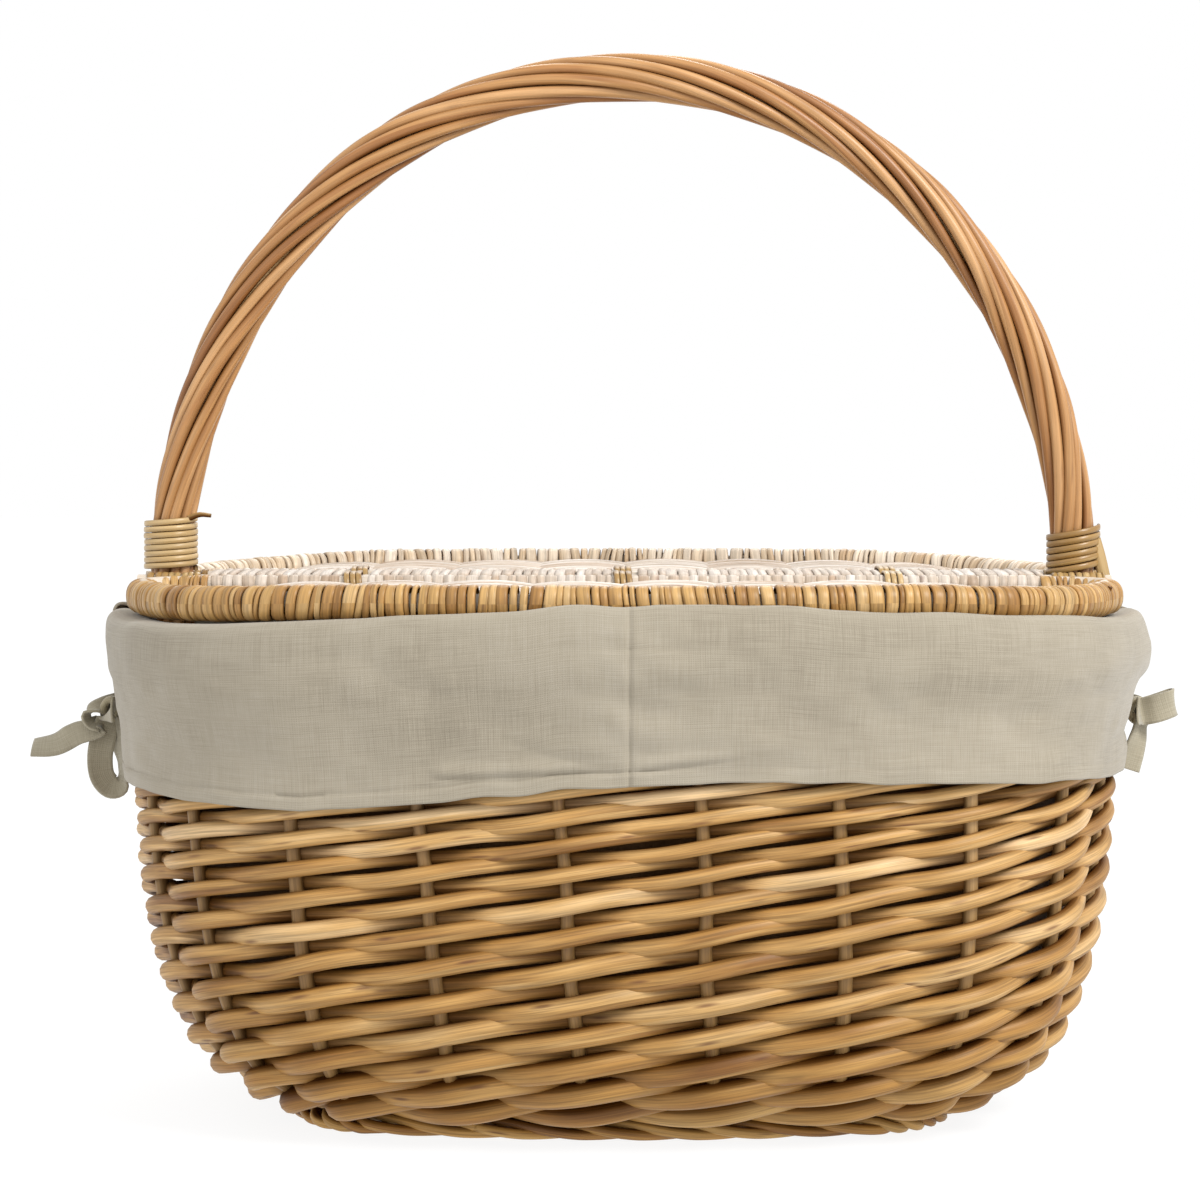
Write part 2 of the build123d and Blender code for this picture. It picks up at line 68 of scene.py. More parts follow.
# ---- the oval and the wall, as in the CAD ----
HALF_LENGTH, HALF_WIDTH = 200.0, 150.0
CORNER_RADIUS, SIDE_RADIUS = 100.0, 500.0
SIDE_CENTRE = SIDE_RADIUS - HALF_WIDTH
SIDE_SHIFT = SIDE_RADIUS - HALF_LENGTH
CORNER_SHIFT = CORNER_RADIUS - HALF_LENGTH
CORNER_Y = (SIDE_RADIUS - CORNER_RADIUS) ** 2 - CORNER_SHIFT**2 - SIDE_CENTRE**2
CORNER_Y /= 2 * SIDE_CENTRE
CORNER_X = math.sqrt(CORNER_SHIFT**2 - CORNER_Y**2)
END_ANGLE = math.atan2(CORNER_Y, CORNER_X)
SIDE_ANGLE = math.atan2(CORNER_Y + SIDE_CENTRE, CORNER_X)
END_QUARTER = HALF_LENGTH * END_ANGLE
CORNER_QUARTER = CORNER_RADIUS * (SIDE_ANGLE - END_ANGLE)
QUARTER = END_QUARTER + CORNER_QUARTER + SIDE_RADIUS * (math.pi / 2 - SIDE_ANGLE)
PERIMETER = 4 * QUARTER
FRONT_MIDDLE, LEFT_END = 3 * QUARTER, 2 * QUARTER

FOOT_HALF_LENGTH = 132.5
WALL_ARCS = [(88.0, 20.0, 75.0), (356.0, 75.0, 84.0), (775.0, 84.0, 90.0)]
STAKES = 22
SPACING = PERIMETER / STAKES
STAKE_LEAN = 12.0


def oval(along, half_length):
    """Point and outward direction at a distance along the oval of 200 mm half length."""
    along = np.mod(along, PERIMETER)
    quarter = np.minimum((along / QUARTER).astype(int), 3)
    part = along - quarter * QUARTER
    part = np.where(quarter % 2, QUARTER - part, part)
    turn = np.interp(
        part,
        [0, END_QUARTER, END_QUARTER + CORNER_QUARTER, QUARTER],
        [0, END_ANGLE, SIDE_ANGLE, math.pi / 2],
    )
    arcs = [part < END_QUARTER, part < END_QUARTER + CORNER_QUARTER]
    radius = half_length + np.select(arcs, [0.0, CORNER_SHIFT], SIDE_SHIFT)
    x = np.select(arcs, [0.0, CORNER_X], 0.0) + radius * np.cos(turn)
    y = np.select(arcs, [0.0, CORNER_Y], -SIDE_CENTRE) + radius * np.sin(turn)
    flip_x = np.where((quarter == 1) | (quarter == 2), -1.0, 1.0)
    flip_y = np.where(quarter >= 2, -1.0, 1.0)
    out = np.stack([flip_x * np.cos(turn), flip_y * np.sin(turn), 0 * turn], axis=-1)
    return np.stack([flip_x * x, flip_y * y, 0 * turn], axis=-1), out


def oval_reach(half_length, y):
    """Half length of the oval's chord at a distance from its long axis."""
    quarter = oval(np.linspace(0, QUARTER * 0.9999, 400), half_length)[0]
    return float(np.interp(y, quarter[:, 1], quarter[:, 0]))


def wall(rise, depth):
    """Half length, height and tangent angle at a distance up the wall's outer face."""
    rise = np.asarray(rise, float)
    half = np.zeros_like(rise)
    height = np.zeros_like(rise)
    angle = np.zeros_like(rise)
    x, z, done = FOOT_HALF_LENGTH, 0.0, 0.0
    for radius, first, last in WALL_ARCS:
        first, last = math.radians(first), math.radians(last)
        centre_x = x - radius * math.sin(first)
        centre_z = z + radius * math.cos(first)
        turn = np.clip(first + (rise - done) / radius, first, last)
        here = rise >= done
        half = np.where(here, centre_x + (radius - depth) * np.sin(turn), half)
        height = np.where(here, centre_z - (radius - depth) * np.cos(turn), height)
        angle = np.where(here, turn, angle)
        done += radius * (last - first)
        x = centre_x + radius * math.sin(last)
        z = centre_z - radius * math.cos(last)
    over = np.maximum(rise - done, 0)
    return half, height + over, angle


def wall_rise(height):
    """Distance up the wall's outer face to a height."""
    rises = np.linspace(0, 240, 2401)
    return float(np.interp(height, wall(rises, 0)[1], rises))


def bump(offset, width):
    """A smooth hill, 1 at no offset and falling off over the width."""
    return np.exp(-((offset / width) ** 2))


def belly(height):
    """How far the weave swells past the CAD's wall, most of it just above the foot."""
    return 4.6 * bump(height - 21, 18) + 3.4 * bump(height - 65, 45)


def on_wall(along, rise, depth):
    """Point on the swelling wall and the direction straight out of it."""
    half, height, angle = wall(rise, depth)
    place, out = oval(along, half + belly(height))
    place[..., 2] = height
    normal = out * np.sin(angle)[..., None]
    normal[..., 2] = -np.cos(angle)
    return place, normal


def droop(x):
    """How far the border, the cuff's top and the lids' rims sink towards the ends."""
    return 3.4 * ease(np.clip((np.abs(x) - 95.0) / 100.0, 0, 1))


def unit(vectors):
    """Vectors scaled to length 1."""
    return vectors / np.maximum(np.linalg.norm(vectors, axis=-1, keepdims=True), 1e-9)


def ease(part):
    """Smooth step from 0 to 1."""
    return part * part * (3 - 2 * part)


def power(value, exponent):
    """A power that keeps the sign."""
    return np.sign(value) * np.abs(value) ** exponent


def run(points):
    """Distance travelled from the first point to each point."""
    return np.concatenate([[0], np.cumsum(np.linalg.norm(np.diff(points, axis=0), axis=1))])


def at_run(wanted, length, points):
    """Points at the wanted distances along a line."""
    return np.stack([np.interp(wanted, length, points[:, i]) for i in range(3)], axis=-1)


def corners_of(index):
    """The four corners of every cell of a grid."""
    return np.stack([index[:-1, :-1], index[:-1, 1:], index[1:, 1:], index[1:, :-1]], axis=2)


def smooth_line(points, count):
    """Catmull-Rom curve through points, evenly sampled along its length."""
    points = np.asarray(points, float)
    ring = np.vstack([2 * points[0] - points[1], points, 2 * points[-1] - points[-2]])
    steps = np.linspace(0, 1, 24, endpoint=False)[:, None]
    pieces = []
    for a, b, c, d in zip(ring[:-3], ring[1:-2], ring[2:-1], ring[3:]):
        pieces.append(
            0.5 * (2 * b + (c - a) * steps + (2 * a - 5 * b + 4 * c - d) * steps**2
                   + (3 * b - a - 3 * c + d) * steps**3)
        )
    fine = np.vstack(pieces + [ring[-2][None]])
    length = run(fine)
    return at_run(np.linspace(0, length[-1], count), length, fine)


def wander(rng, count, step, size):
    """A smooth random line of count values, one new random value every step places."""
    knots = rng.normal(0, size, max(2, int(count / step)) + 3)
    places = np.linspace(0, len(knots) - 1.001, count)
    low = places.astype(int)
    part = ease(places - low)
    return knots[low] * (1 - part) + knots[low + 1] * part


# ---- meshes ----
class Bundle:
    """Tubes and grids gathered into one mesh, with grain coordinates, a tint per rod, and painted
    shade per point in the crease attribute.
    """

    def __init__(self, seed):
        self.rng = np.random.default_rng(seed)
        self.points, self.faces, self.grain, self.tints, self.creases = [], [], [], [], []
        self.count = 0

    def grid(self, rows, around, along, tint, wrap, crease):
        """A grid of points; rows run along it, and each row closes on itself if wrap."""
        length, width = rows.shape[:2]
        index = np.arange(length * width).reshape(length, width) + self.count
        if wrap:
            index = np.hstack([index, index[:, :1]])
        quads = corners_of(index).reshape(-1, 4)
        u = np.broadcast_to(around, index.shape)
        v = np.broadcast_to(along[:, None], index.shape)
        uv = corners_of(np.stack([u, v], axis=-1)).reshape(-1, 2)
        self.points.append(rows.reshape(-1, 3))
        self.faces.extend(quads.tolist())
        self.grain.append(uv)
        self.tints.append(np.full(length * width, tint))
        # painted shade per point: 0 keeps the rod's own colour, 1 is fully shaded
        self.creases.append(np.broadcast_to(crease, (length, width)).ravel())
        self.count += length * width
        return index

    def cap(self, ring, centre, uv, tint, flip):
        """Close the end of a tube with a fan."""
        self.points.append(centre[None])
        middle = self.count
        self.count += 1
        self.tints.append(np.array([tint]))
        # the middle of each end cap gets painted shade of 0.4
        self.creases.append(np.array([0.4]))
        pairs = zip(ring[:-1], ring[1:])
        fan = [(a, middle, b) if flip else (b, middle, a) for a, b in pairs]
        self.faces.extend([list(map(int, f)) for f in fan])
        self.grain.append(np.tile(uv, (3 * len(fan), 1)))

    def tube(
        self, centre, radius, up, sides=10, flat=(1, 1), square=1.0, tint=None, painted_depth_shade=0.0,
        open_back=False,
    ):
        """A rod along centre; up is its outer side. Its sides turned away from up get painted
        shade, and so does the part that lies far in, as much as the depth-shade argument (0 to 1)
        says.
        """
        tint = self.rng.random() if tint is None else tint
        centre = np.asarray(centre, float)
        tangent = unit(np.gradient(centre, axis=0))
        up = np.broadcast_to(up, centre.shape)
        normal = unit(up - tangent * np.sum(up * tangent, axis=1, keepdims=True))
        side = np.cross(tangent, normal)
        turn = np.linspace(0, 2 * np.pi, sides, endpoint=False)
        cos = power(np.cos(turn), square) * flat[0]
        sin = power(np.sin(turn), square) * flat[1]
        radius = np.broadcast_to(radius, len(centre))[:, None, None]
        rows = centre[:, None] + radius * (
            cos[None, :, None] * normal[:, None] + sin[None, :, None] * side[:, None]
        )
        along = run(centre)
        shift = self.rng.random(2) * 900
        girth = 2 * np.pi * float(np.mean(radius)) * max(flat)
        around = np.linspace(0, girth, sides + 1) + shift[0]
        # painted shade: the sides turned away from up (with open_back, both edges) darken as in the
        # creases between rods, and the parts lying far in darken too
        facing = np.abs(np.cos(turn)) if open_back else np.cos(turn)
        crease = np.clip((0.62 - facing) / 0.8, 0, 1)[None]
        crease = np.maximum(crease, np.broadcast_to(painted_depth_shade, len(centre))[:, None])
        index = self.grid(rows, around, along + shift[1], tint, True, crease)
        end_uv = np.array([around[0], shift[1]])
        self.cap(index[0], centre[0], end_uv, tint, False)
        self.cap(index[-1], centre[-1], end_uv, tint, True)

    def build(self, name, body, material, slot, *nodes):
        """Make the object, put it on its body, and hide the CAD nodes it stands for."""
        mesh = bpy.data.meshes.new(name)
        mesh.from_pydata((np.vstack(self.points) * MM).tolist(), [], self.faces)
        layer = mesh.uv_layers.new(name="grain")
        layer.data.foreach_set("uv", (np.vstack(self.grain) * MM).astype(np.float32).ravel())
        # crease carries the painted shade to the material
        for label, values in (("tint", self.tints), ("crease", self.creases)):
            attribute = mesh.attributes.new(label, "FLOAT", "POINT")
            attribute.data.foreach_set("value", np.concatenate(values).astype(np.float32))
        return finish_piece(mesh, name, body, material, slot, *nodes)


def finish_piece(mesh, name, body, material, slot, *nodes):
    """Smooth, dress and ride one piece."""
    mesh.polygons.foreach_set("use_smooth", np.ones(len(mesh.polygons), bool))
    mesh.update()
    mesh.materials.append(material)
    piece = bpy.data.objects.new(name, mesh)
    bpy.context.scene.collection.objects.link(piece)
    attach(piece, body)
    if nodes:
        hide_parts(*nodes)
    return piece


# ---- materials ----
def colour(red, green, blue):
    """Linear colour from 0 to 255 display values."""
    values = [v / 255 for v in (red, green, blue)]
    return [v / 12.92 if v <= 0.04045 else ((v + 0.055) / 1.055) ** 2.4 for v in values] + [1.0]


class Shader:
    """Short calls for building one node material."""

    def __init__(self, name):
        self.material = bpy.data.materials.new(name)
        self.material.use_nodes = True
        self.tree = self.material.node_tree
        self.shader = self.tree.nodes["Principled BSDF"]

    def node(self, kind, **settings):
        made = self.tree.nodes.new(kind)
        for key, value in settings.items():
            setattr(made, key, value)
        return made

    def link(self, source, target):
        self.tree.links.new(source, target)

    def feed(self, sockets, values):
        """Give each socket a value, or link it if the value is another node's output."""
        for socket, value in zip(sockets, values):
            if hasattr(value, "links"):
                self.link(value, socket)
            else:
                socket.default_value = value

    def grain(self, scale_u, scale_v, layer="grain"):
        """Grain coordinates in metres, scaled per metre around and along."""
        uv = self.node("ShaderNodeUVMap", uv_map=layer)
        mapping = self.node("ShaderNodeMapping")
        mapping.inputs["Scale"].default_value = (scale_u, scale_v, 1)
        self.link(uv.outputs[0], mapping.inputs["Vector"])
        return mapping.outputs[0]

    def noise(self, vector, scale=1.0, detail=3.0, rough=0.55):
        made = self.node("ShaderNodeTexNoise")
        sockets = [made.inputs[i] for i in ("Vector", "Scale", "Detail", "Roughness")]
        self.feed(sockets, (vector, scale, detail, rough))
        return made.outputs["Fac"]

    def remap(self, value, low, high, to_low, to_high):
        made = self.node("ShaderNodeMapRange")
        sockets = [made.inputs[i] for i in ("Value", "From Min", "From Max", "To Min", "To Max")]
        self.feed(sockets, (value, low, high, to_low, to_high))
        return made.outputs[0]

    def ramp(self, value, stops):
        made = self.node("ShaderNodeValToRGB")
        elements = made.color_ramp.elements
        while len(elements) < len(stops):
            elements.new(0.5)
        for element, (place, tone) in zip(elements, stops):
            element.position = place
            element.color = tone
        self.link(value, made.inputs[0])
        return made.outputs[0]

    def mix(self, factor, first, second, blend="MIX"):
        made = self.node("ShaderNodeMix", data_type="RGBA", blend_type=blend)
        self.feed([made.inputs[i] for i in (0, 6, 7)], (factor, first, second))
        return made.outputs[2]

    def math(self, operation, first, second=0.0):
        made = self.node("ShaderNodeMath", operation=operation)
        self.feed(made.inputs, (first, second))
        return made.outputs[0]

    def bump(self, height, strength, distance):
        made = self.node("ShaderNodeBump")
        made.inputs["Strength"].default_value = strength
        made.inputs["Distance"].default_value = distance
        self.link(height, made.inputs["Height"])
        self.link(made.outputs[0], self.shader.inputs["Normal"])

    def darken(self, base, shade):
        """A colour multiplied by a grey value."""
        return self.mix(1.0, base, self.mix(shade, (0, 0, 0, 1), (1, 1, 1, 1)), "MULTIPLY")

    def objects(self):
        return self.node("ShaderNodeTexCoord").outputs["Object"]


def willow(
    name, tones, knots=0.5, rough=(0.42, 0.62), coat=0.1, streak=0.34, painted_shade_strength=0.95, low=0.0
):
    """Peeled willow: a tone per rod, long grain streaks, blotches, small dark knots, darker towards
    the bottom if low is set, and painted shade where the crease attribute says.
    """
    tones = [colour(*tone) for tone in tones]
    s = Shader(name)
    tint = s.node("ShaderNodeAttribute", attribute_name="tint").outputs["Fac"]
    patches = s.noise(s.grain(90, 14), 1.0, 2.0)
    tone = s.math("ADD", tint, s.remap(patches, 0.3, 0.7, -0.4, 0.4))
    places = [i / (len(tones) - 1) for i in range(len(tones))]
    base = s.ramp(tone, list(zip(places, tones)))
    fibres = s.noise(s.grain(2600, 45), 1.0, 4.0, 0.65)
    coarse = s.noise(s.grain(900, 22), 1.0, 2.0)
    lines = s.math("MULTIPLY", fibres, coarse)
    shade = s.remap(lines, 0.12, 0.42, 1 - streak, 1 + streak * 0.5)
    base = s.darken(base, shade)
    voronoi = s.node("ShaderNodeTexVoronoi")
    s.link(s.grain(190, 34), voronoi.inputs["Vector"])
    voronoi.inputs["Scale"].default_value = 1.0
    spot = s.remap(voronoi.outputs["Distance"], 0.06, 0.19, knots, 0.0)
    base = s.mix(spot, base, colour(96, 52, 26))
    if low:
        split = s.node("ShaderNodeSeparateXYZ")
        s.link(s.objects(), split.inputs[0])
        depth = s.remap(split.outputs[2], 0.01, 0.15, low, 0.0)
        base = s.mix(depth, base, s.mix(1.0, base, (0.66, 0.55, 0.3, 1), "MULTIPLY"))
    # painted shade: where the crease attribute says, the colour is darkened towards a dark brown,
    # and the specular and coat are taken away
    crease = s.node("ShaderNodeAttribute", attribute_name="crease").outputs["Fac"]
    painted_shade_tone = s.mix(1.0, base, (0.24, 0.12, 0.035, 1), "MULTIPLY")
    base = s.mix(s.math("MULTIPLY", crease, painted_shade_strength), base, painted_shade_tone)
    s.link(base, s.shader.inputs["Base Color"])
    s.link(s.remap(lines, 0.1, 0.45, rough[1], rough[0]), s.shader.inputs["Roughness"])
    s.link(s.remap(crease, 0.0, 1.0, 0.42, 0.04), s.shader.inputs["Specular IOR Level"])
    s.link(s.remap(crease, 0.0, 0.5, coat, 0.0), s.shader.inputs["Coat Weight"])
    s.shader.inputs["Coat Roughness"].default_value = 0.3
    s.bump(lines, 0.35, 0.0004)
    return s.material


def cloth(name, tones, pitch, layer="cloth"):
    """Plain-woven linen: single threads, slubs both ways, and soft unevenness."""
    tones = [colour(*tone) for tone in tones]
    s = Shader(name)
    uv = s.node("ShaderNodeUVMap", uv_map=layer).outputs[0]
    split = s.node("ShaderNodeSeparateXYZ")
    s.link(uv, split.inputs[0])
    turns = 2 * math.pi / pitch
    wobble = s.remap(s.noise(s.grain(60, 60, layer), 1.0, 2.0), 0.3, 0.7, -1.6, 1.6)
    warp = s.math("SINE", s.math("ADD", s.math("MULTIPLY", split.outputs[0], turns), wobble))
    weft = s.math("SINE", s.math("ADD", s.math("MULTIPLY", split.outputs[1], turns), wobble))
    threads = s.math("MAXIMUM", warp, weft)
    across = s.noise(s.grain(1500, 55, layer), 1.0, 3.0, 0.6)
    down = s.noise(s.grain(55, 1500, layer), 1.0, 3.0, 0.6)
    slubs = s.math("MULTIPLY", across, down)
    soft = s.noise(s.grain(14, 14, layer), 1.0, 3.0)
    tone = s.math("ADD", s.remap(slubs, 0.12, 0.42, 0.2, 0.62), s.remap(soft, 0.3, 0.7, -0.1, 0.25))
    base = s.ramp(tone, [(0.0, tones[0]), (0.45, tones[1]), (1.0, tones[2])])
    base = s.darken(base, s.remap(threads, -1, 1, 0.9, 1.0))
    s.link(base, s.shader.inputs["Base Color"])
    s.shader.inputs["Roughness"].default_value = 0.93
    s.shader.inputs["Specular IOR Level"].default_value = 0.2
    s.shader.inputs["Sheen Weight"].default_value = 0.25
    s.shader.inputs["Sheen Roughness"].default_value = 0.5
    height = s.math("ADD", s.math("MULTIPLY", threads, 0.35), s.math("MULTIPLY", slubs, 2.0))
    s.bump(height, 0.3, 0.0004)
    return s.material


WOVEN = willow(
    "woven_willow", [(146, 102, 48), (188, 144, 82), (210, 169, 109), (228, 194, 146)],
    knots=0.7, streak=0.5, coat=0.04, low=1.0)
STAKE = willow(
    "stake_willow", [(138, 104, 58), (164, 128, 78), (186, 150, 100)], knots=0.4, painted_shade_strength=0.6)
HANDLE = willow(
    "handle_willow", [(144, 94, 48), (164, 113, 64), (180, 132, 80), (198, 152, 102)],
    knots=0.25, rough=(0.32, 0.5), coat=0.2, streak=0.3)
RIM = willow(
    "rim_skein", [(152, 108, 52), (176, 133, 75), (192, 152, 92), (208, 172, 118)],
    knots=0.4, rough=(0.34, 0.55), coat=0.12, streak=0.5, painted_shade_strength=0.66)
RIM_PALE = willow(
    "rim_skein_pale", [(192, 162, 126), (208, 184, 152), (220, 201, 176), (227, 213, 194)],
    knots=0.4, rough=(0.34, 0.55), coat=0.12, streak=0.5, painted_shade_strength=0.7)
LID = willow(
    "lid_willow", [(178, 154, 130), (200, 185, 168), (217, 207, 196)], knots=0.5, painted_shade_strength=0.6)
CANE = willow(
    "binding_cane", [(150, 115, 63), (172, 140, 87), (195, 166, 117)],
    knots=0.1, rough=(0.26, 0.42), coat=0.25, streak=0.24)
LINEN = cloth("linen", [(128, 119, 103), (154, 145, 128), (169, 161, 146)], 0.0009)
# the bag's outward side, seen only between the rods, is coloured dark brown as painted shade
LINEN_PAINTED_SHADE = cloth("linen_painted_shade_behind_rods", [(74, 50, 26), (92, 64, 36), (108, 78, 48)], 0.0009)
TAPE = cloth("linen_tape", [(136, 128, 110), (160, 152, 132), (180, 173, 154)], 0.0008)
KNOT = cloth("knot_linen", [(140, 130, 106), (166, 156, 130), (186, 178, 154)], 0.0008, "grain")


# ---- woven sides ----
def stake_along(number, rise):
    """Distance along the oval of a stake, which leans a little as it goes up."""
    return FRONT_MIDDLE + (number + 0.5) * SPACING + STAKE_LEAN * (1 - rise / 200)


# each rod climbs one row at every stake; rows are 8.5 mm apart low down and close up higher
ROW_START, ROW_LIMIT, ROW_RATE = 43.3, 318.0, 0.0316
COURSES = [
    ("upsett_wale", -4, 0), ("side_weave_bottom", 0, 4), ("side_weave_lower", 4, 8),
    ("side_weave_middle", 8, 18), ("side_weave_upper", 18, 30)]


def row_rise(stroke):
    """Distance up the wall after this many stakes."""
    return ROW_LIMIT - (ROW_LIMIT - ROW_START) * np.exp(-ROW_RATE * stroke)


def rod_radius(rise):
    """Weaving rods are thick at the butt, low down, and thin at the tip."""
    return (0.5 + 0.0005 * rise) * ROW_RATE * (ROW_LIMIT - rise)


def stake_depth(rise):
    """Depth of the stakes, which have one rod outside them and one inside."""
    return 1.65 * rod_radius(rise) + 1.6


def make_stakes():
    """The upright rods, from the foot to inside the border."""
    bundle = Bundle(1)
    for number in range(STAKES):
        rise = np.linspace(wall_rise(2.0), wall_rise(200.0), 80)
        sway = wander(bundle.rng, 80, 16, 0.8)
        place, normal = on_wall(stake_along(number, rise) + sway, rise, 0)
        place = place - normal * stake_depth(rise)[:, None]
        radius = np.linspace(2.9, 2.4, 80) * bundle.rng.uniform(0.95, 1.07)
        bundle.tube(place, radius, normal, sides=12)
    bundle.build("side_stake_rods", "basket", STAKE, "willow_stakes", "side_stakes")


def make_weave():
    """One rod from every stake, woven in front of one stake and behind the next."""
    bundles = [Bundle(10 + i) for i in range(len(COURSES))]
    rng = np.random.default_rng(2)
    per_stroke = 16
    begin, end = COURSES[0][1], COURSES[-1][2]
    samples = per_stroke * (end - begin) + 1
    stroke = np.linspace(begin, end, samples)
    for rod in range(STAKES):
        climb = stroke + 0.6 / np.pi * np.sin(np.pi * (stroke - 1.1))
        rise = row_rise(climb) + wander(rng, samples, 11, 0.3)
        radius = rod_radius(row_rise(stroke)) * rng.uniform(0.94, 1.05)
        radius = radius + wander(rng, samples, 24, 0.1)
        wave = power(-np.cos(np.pi * stroke), 1.1)
        depth = stake_depth(rise)
        depth = depth - wave * (depth - radius) + wander(rng, samples, 10, 0.2)
        angle = wall(rise, 0)[2]
        level = np.minimum(1 / np.tan(angle), 1.0) + 0.14
        rise = rise + level * (stake_depth(rise) - depth)
        place, normal = on_wall(stake_along(rod + stroke, rise), rise, 0)
        place = place - normal * depth[:, None]
        tint = rng.beta(3.0, 3.0)
        # painted shade on the stretches of each rod that pass behind a stake
        painted_depth_shade = np.clip(-wave, 0, 1) * 0.75
        for bundle, (_, first, last) in zip(bundles, COURSES):
            part = slice((first - begin) * per_stroke, (last - begin) * per_stroke + 1)
            bundle.tube(
                place[part], radius[part], normal[part], sides=12, tint=tint, painted_depth_shade=painted_depth_shade[part])
    for bundle, (name, _, _) in zip(bundles, COURSES):
        bundle.build(name + "_rods", "basket", WOVEN, "woven_willow", name)


def rope_round(bundle, strands, place, normal, turns, size, radius):
    """Rods laid round each other along a closed ring."""
    samples = len(place)
    along = np.linspace(0, PERIMETER, samples)
    tangent = unit(np.gradient(place, axis=0))
    rise = np.cross(normal, tangent)
    for strand in range(strands):
        angle = 2 * np.pi * (turns * along / PERIMETER + strand / strands)
        swell = 1 + wander(bundle.rng, samples, 60, 0.05)
        line = place + normal * (size[0] * np.cos(angle))[:, None]
        line += rise * (size[1] * np.sin(angle))[:, None]
        cut = bundle.rng.integers(0, samples - 1)
        line = np.vstack([line[cut:-1], line[: cut + 2]])
        ups = np.vstack([normal[cut:-1], normal[: cut + 2]])
        thick = np.concatenate([swell[cut:-1], swell[: cut + 2]]) * radius
        bundle.tube(line, thick, ups, sides=10)


def make_borders():
    """The foot border, plaited flat round the base, and the top border, under the linen."""
    for node, seed, half, height, tilt, sag, size, radius in (
        ("foot_border", 6, 131.0, 3.9, -0.25, 0, (4.8, 1.8), 2.05),
        ("top_border", 7, 197.8, 195.4, 0.0, 1, (3.0, 4.2), 2.6),
    ):
        bundle = Bundle(seed)
        place, out = oval(np.linspace(0, PERIMETER, 700), np.full(700, half))
        place[:, 2] = height - sag * droop(place[:, 0])
        rope_round(bundle, 4, place, unit(out + tilt * UP), -STAKES / 2, size, radius)
        bundle.build(node + "_rods", "basket", WOVEN, "woven_willow", node)


def make_base():
    """Rounds of weaving over and under the base sticks."""
    bundle = Bundle(8)
    rng = bundle.rng
    samples = 420
    turn = np.linspace(0, 2 * np.pi, samples)
    for number in range(19):
        half = 122.5 - 5.2 * number
        wide = max(half - 50, 3.0 + 2.2 * (19 - number) * 0.45)
        outline = max(half, 103.0)
        place = oval(turn / (2 * np.pi) * PERIMETER * 0.99999, outline)[0]
        place *= np.array([half / outline, wide / (outline - 50), 1.0])
        place[:, 2] = 4.6 + 1.9 * np.sin(14 * turn + np.pi * number) + wander(rng, samples, 30, 0.1)
        bundle.tube(place, 2.35, UP, sides=8)
    bundle.build("base_weave_rods", "basket", WOVEN, "woven_willow", "base_weave")


make_stakes()
make_weave()
make_borders()
make_base()


# ---- handle ----
LID_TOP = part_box("front_lid_rim_wrap")[1].z / MM
HANDLE_SPAN, HANDLE_RISE, HANDLE_TOP_RADIUS = 182.0, 196.6, 172.0
HANDLE_DROP = HANDLE_RISE - HANDLE_TOP_RADIUS
HANDLE_SIDE_RADIUS = (HANDLE_DROP**2 + HANDLE_SPAN**2 - HANDLE_TOP_RADIUS**2) / (
    2 * (HANDLE_SPAN - HANDLE_TOP_RADIUS))
HANDLE_SIDE_X = HANDLE_SIDE_RADIUS - HANDLE_SPAN
HANDLE_JOIN = math.atan2(HANDLE_DROP, HANDLE_SIDE_X)
STRANDS, STRAND_CIRCLE, STRAND_BOTTOM = 10, 7.45, 190.5
STRAND_TURN = 290.0


def handle_line(count):
    """Centre line of the handle from the right foot to the left, and its outward direction."""
    leg = LID_TOP - STRAND_BOTTOM
    side = HANDLE_SIDE_RADIUS * HANDLE_JOIN
    top = HANDLE_TOP_RADIUS * (np.pi - 2 * HANDLE_JOIN)
    total = 2 * leg + 2 * side + top
    travel = np.linspace(0, total, count)
    half = np.minimum(travel, total - travel)
    sign = np.where(travel <= total / 2, 1.0, -1.0)
    angle = np.where(
        half < leg + side,
        np.maximum(half - leg, 0) / HANDLE_SIDE_RADIUS,
        HANDLE_JOIN + (half - leg - side) / HANDLE_TOP_RADIUS,
    )
    on_side = half < leg + side
    radius = np.where(on_side, HANDLE_SIDE_RADIUS, HANDLE_TOP_RADIUS)
    x = radius * np.cos(angle) - np.where(on_side, HANDLE_SIDE_X, 0)
    z = LID_TOP + radius * np.sin(angle) + np.where(on_side, 0, HANDLE_DROP)
    z = z - np.maximum(leg - half, 0)
    place = np.stack([sign * x, np.zeros(count), z], axis=-1)
    out = np.stack([sign * np.cos(angle), np.zeros(count), np.sin(angle)], axis=-1)
    return place, out, travel, total


def make_handle():
    """Ten rods roped round the core."""
    count = 260
    place, out, travel, total = handle_line(count)
    ends = np.clip(np.minimum(travel, total - travel) / 70, 0, 1)
    foot = np.clip(1.6 - np.minimum(travel, total - travel) / 60, 0, 1)
    for strand in range(STRANDS):
        bundle = Bundle(20 + strand)
        rng = bundle.rng
        angle = 2 * np.pi * (strand + 0.5) / STRANDS + 2 * np.pi * travel / STRAND_TURN
        angle += wander(rng, count, 26, 0.07) * ends
        ring = STRAND_CIRCLE + wander(rng, count, 20, 0.22) * ends - 1.1 * foot
        line = place + out * (ring * np.cos(angle))[:, None]
        line[:, 0] += np.where(line[:, 0] < 0, -1.6, 0.3) * foot
        line[:, 1] += ring * np.sin(angle)
        thick = np.linspace(2.55, 2.15, count) if strand % 2 else np.linspace(2.15, 2.55, count)
        thick = thick * rng.uniform(0.94, 1.05) + wander(rng, count, 24, 0.06)
        outward = out * np.cos(angle)[:, None]
        outward[:, 1] += np.sin(angle)
        bundle.tube(line, thick, outward, sides=10)
        name = f"handle_strand_{strand + 1}"
        bundle.build(name + "_rod", "basket", HANDLE, "handle_willow", name)


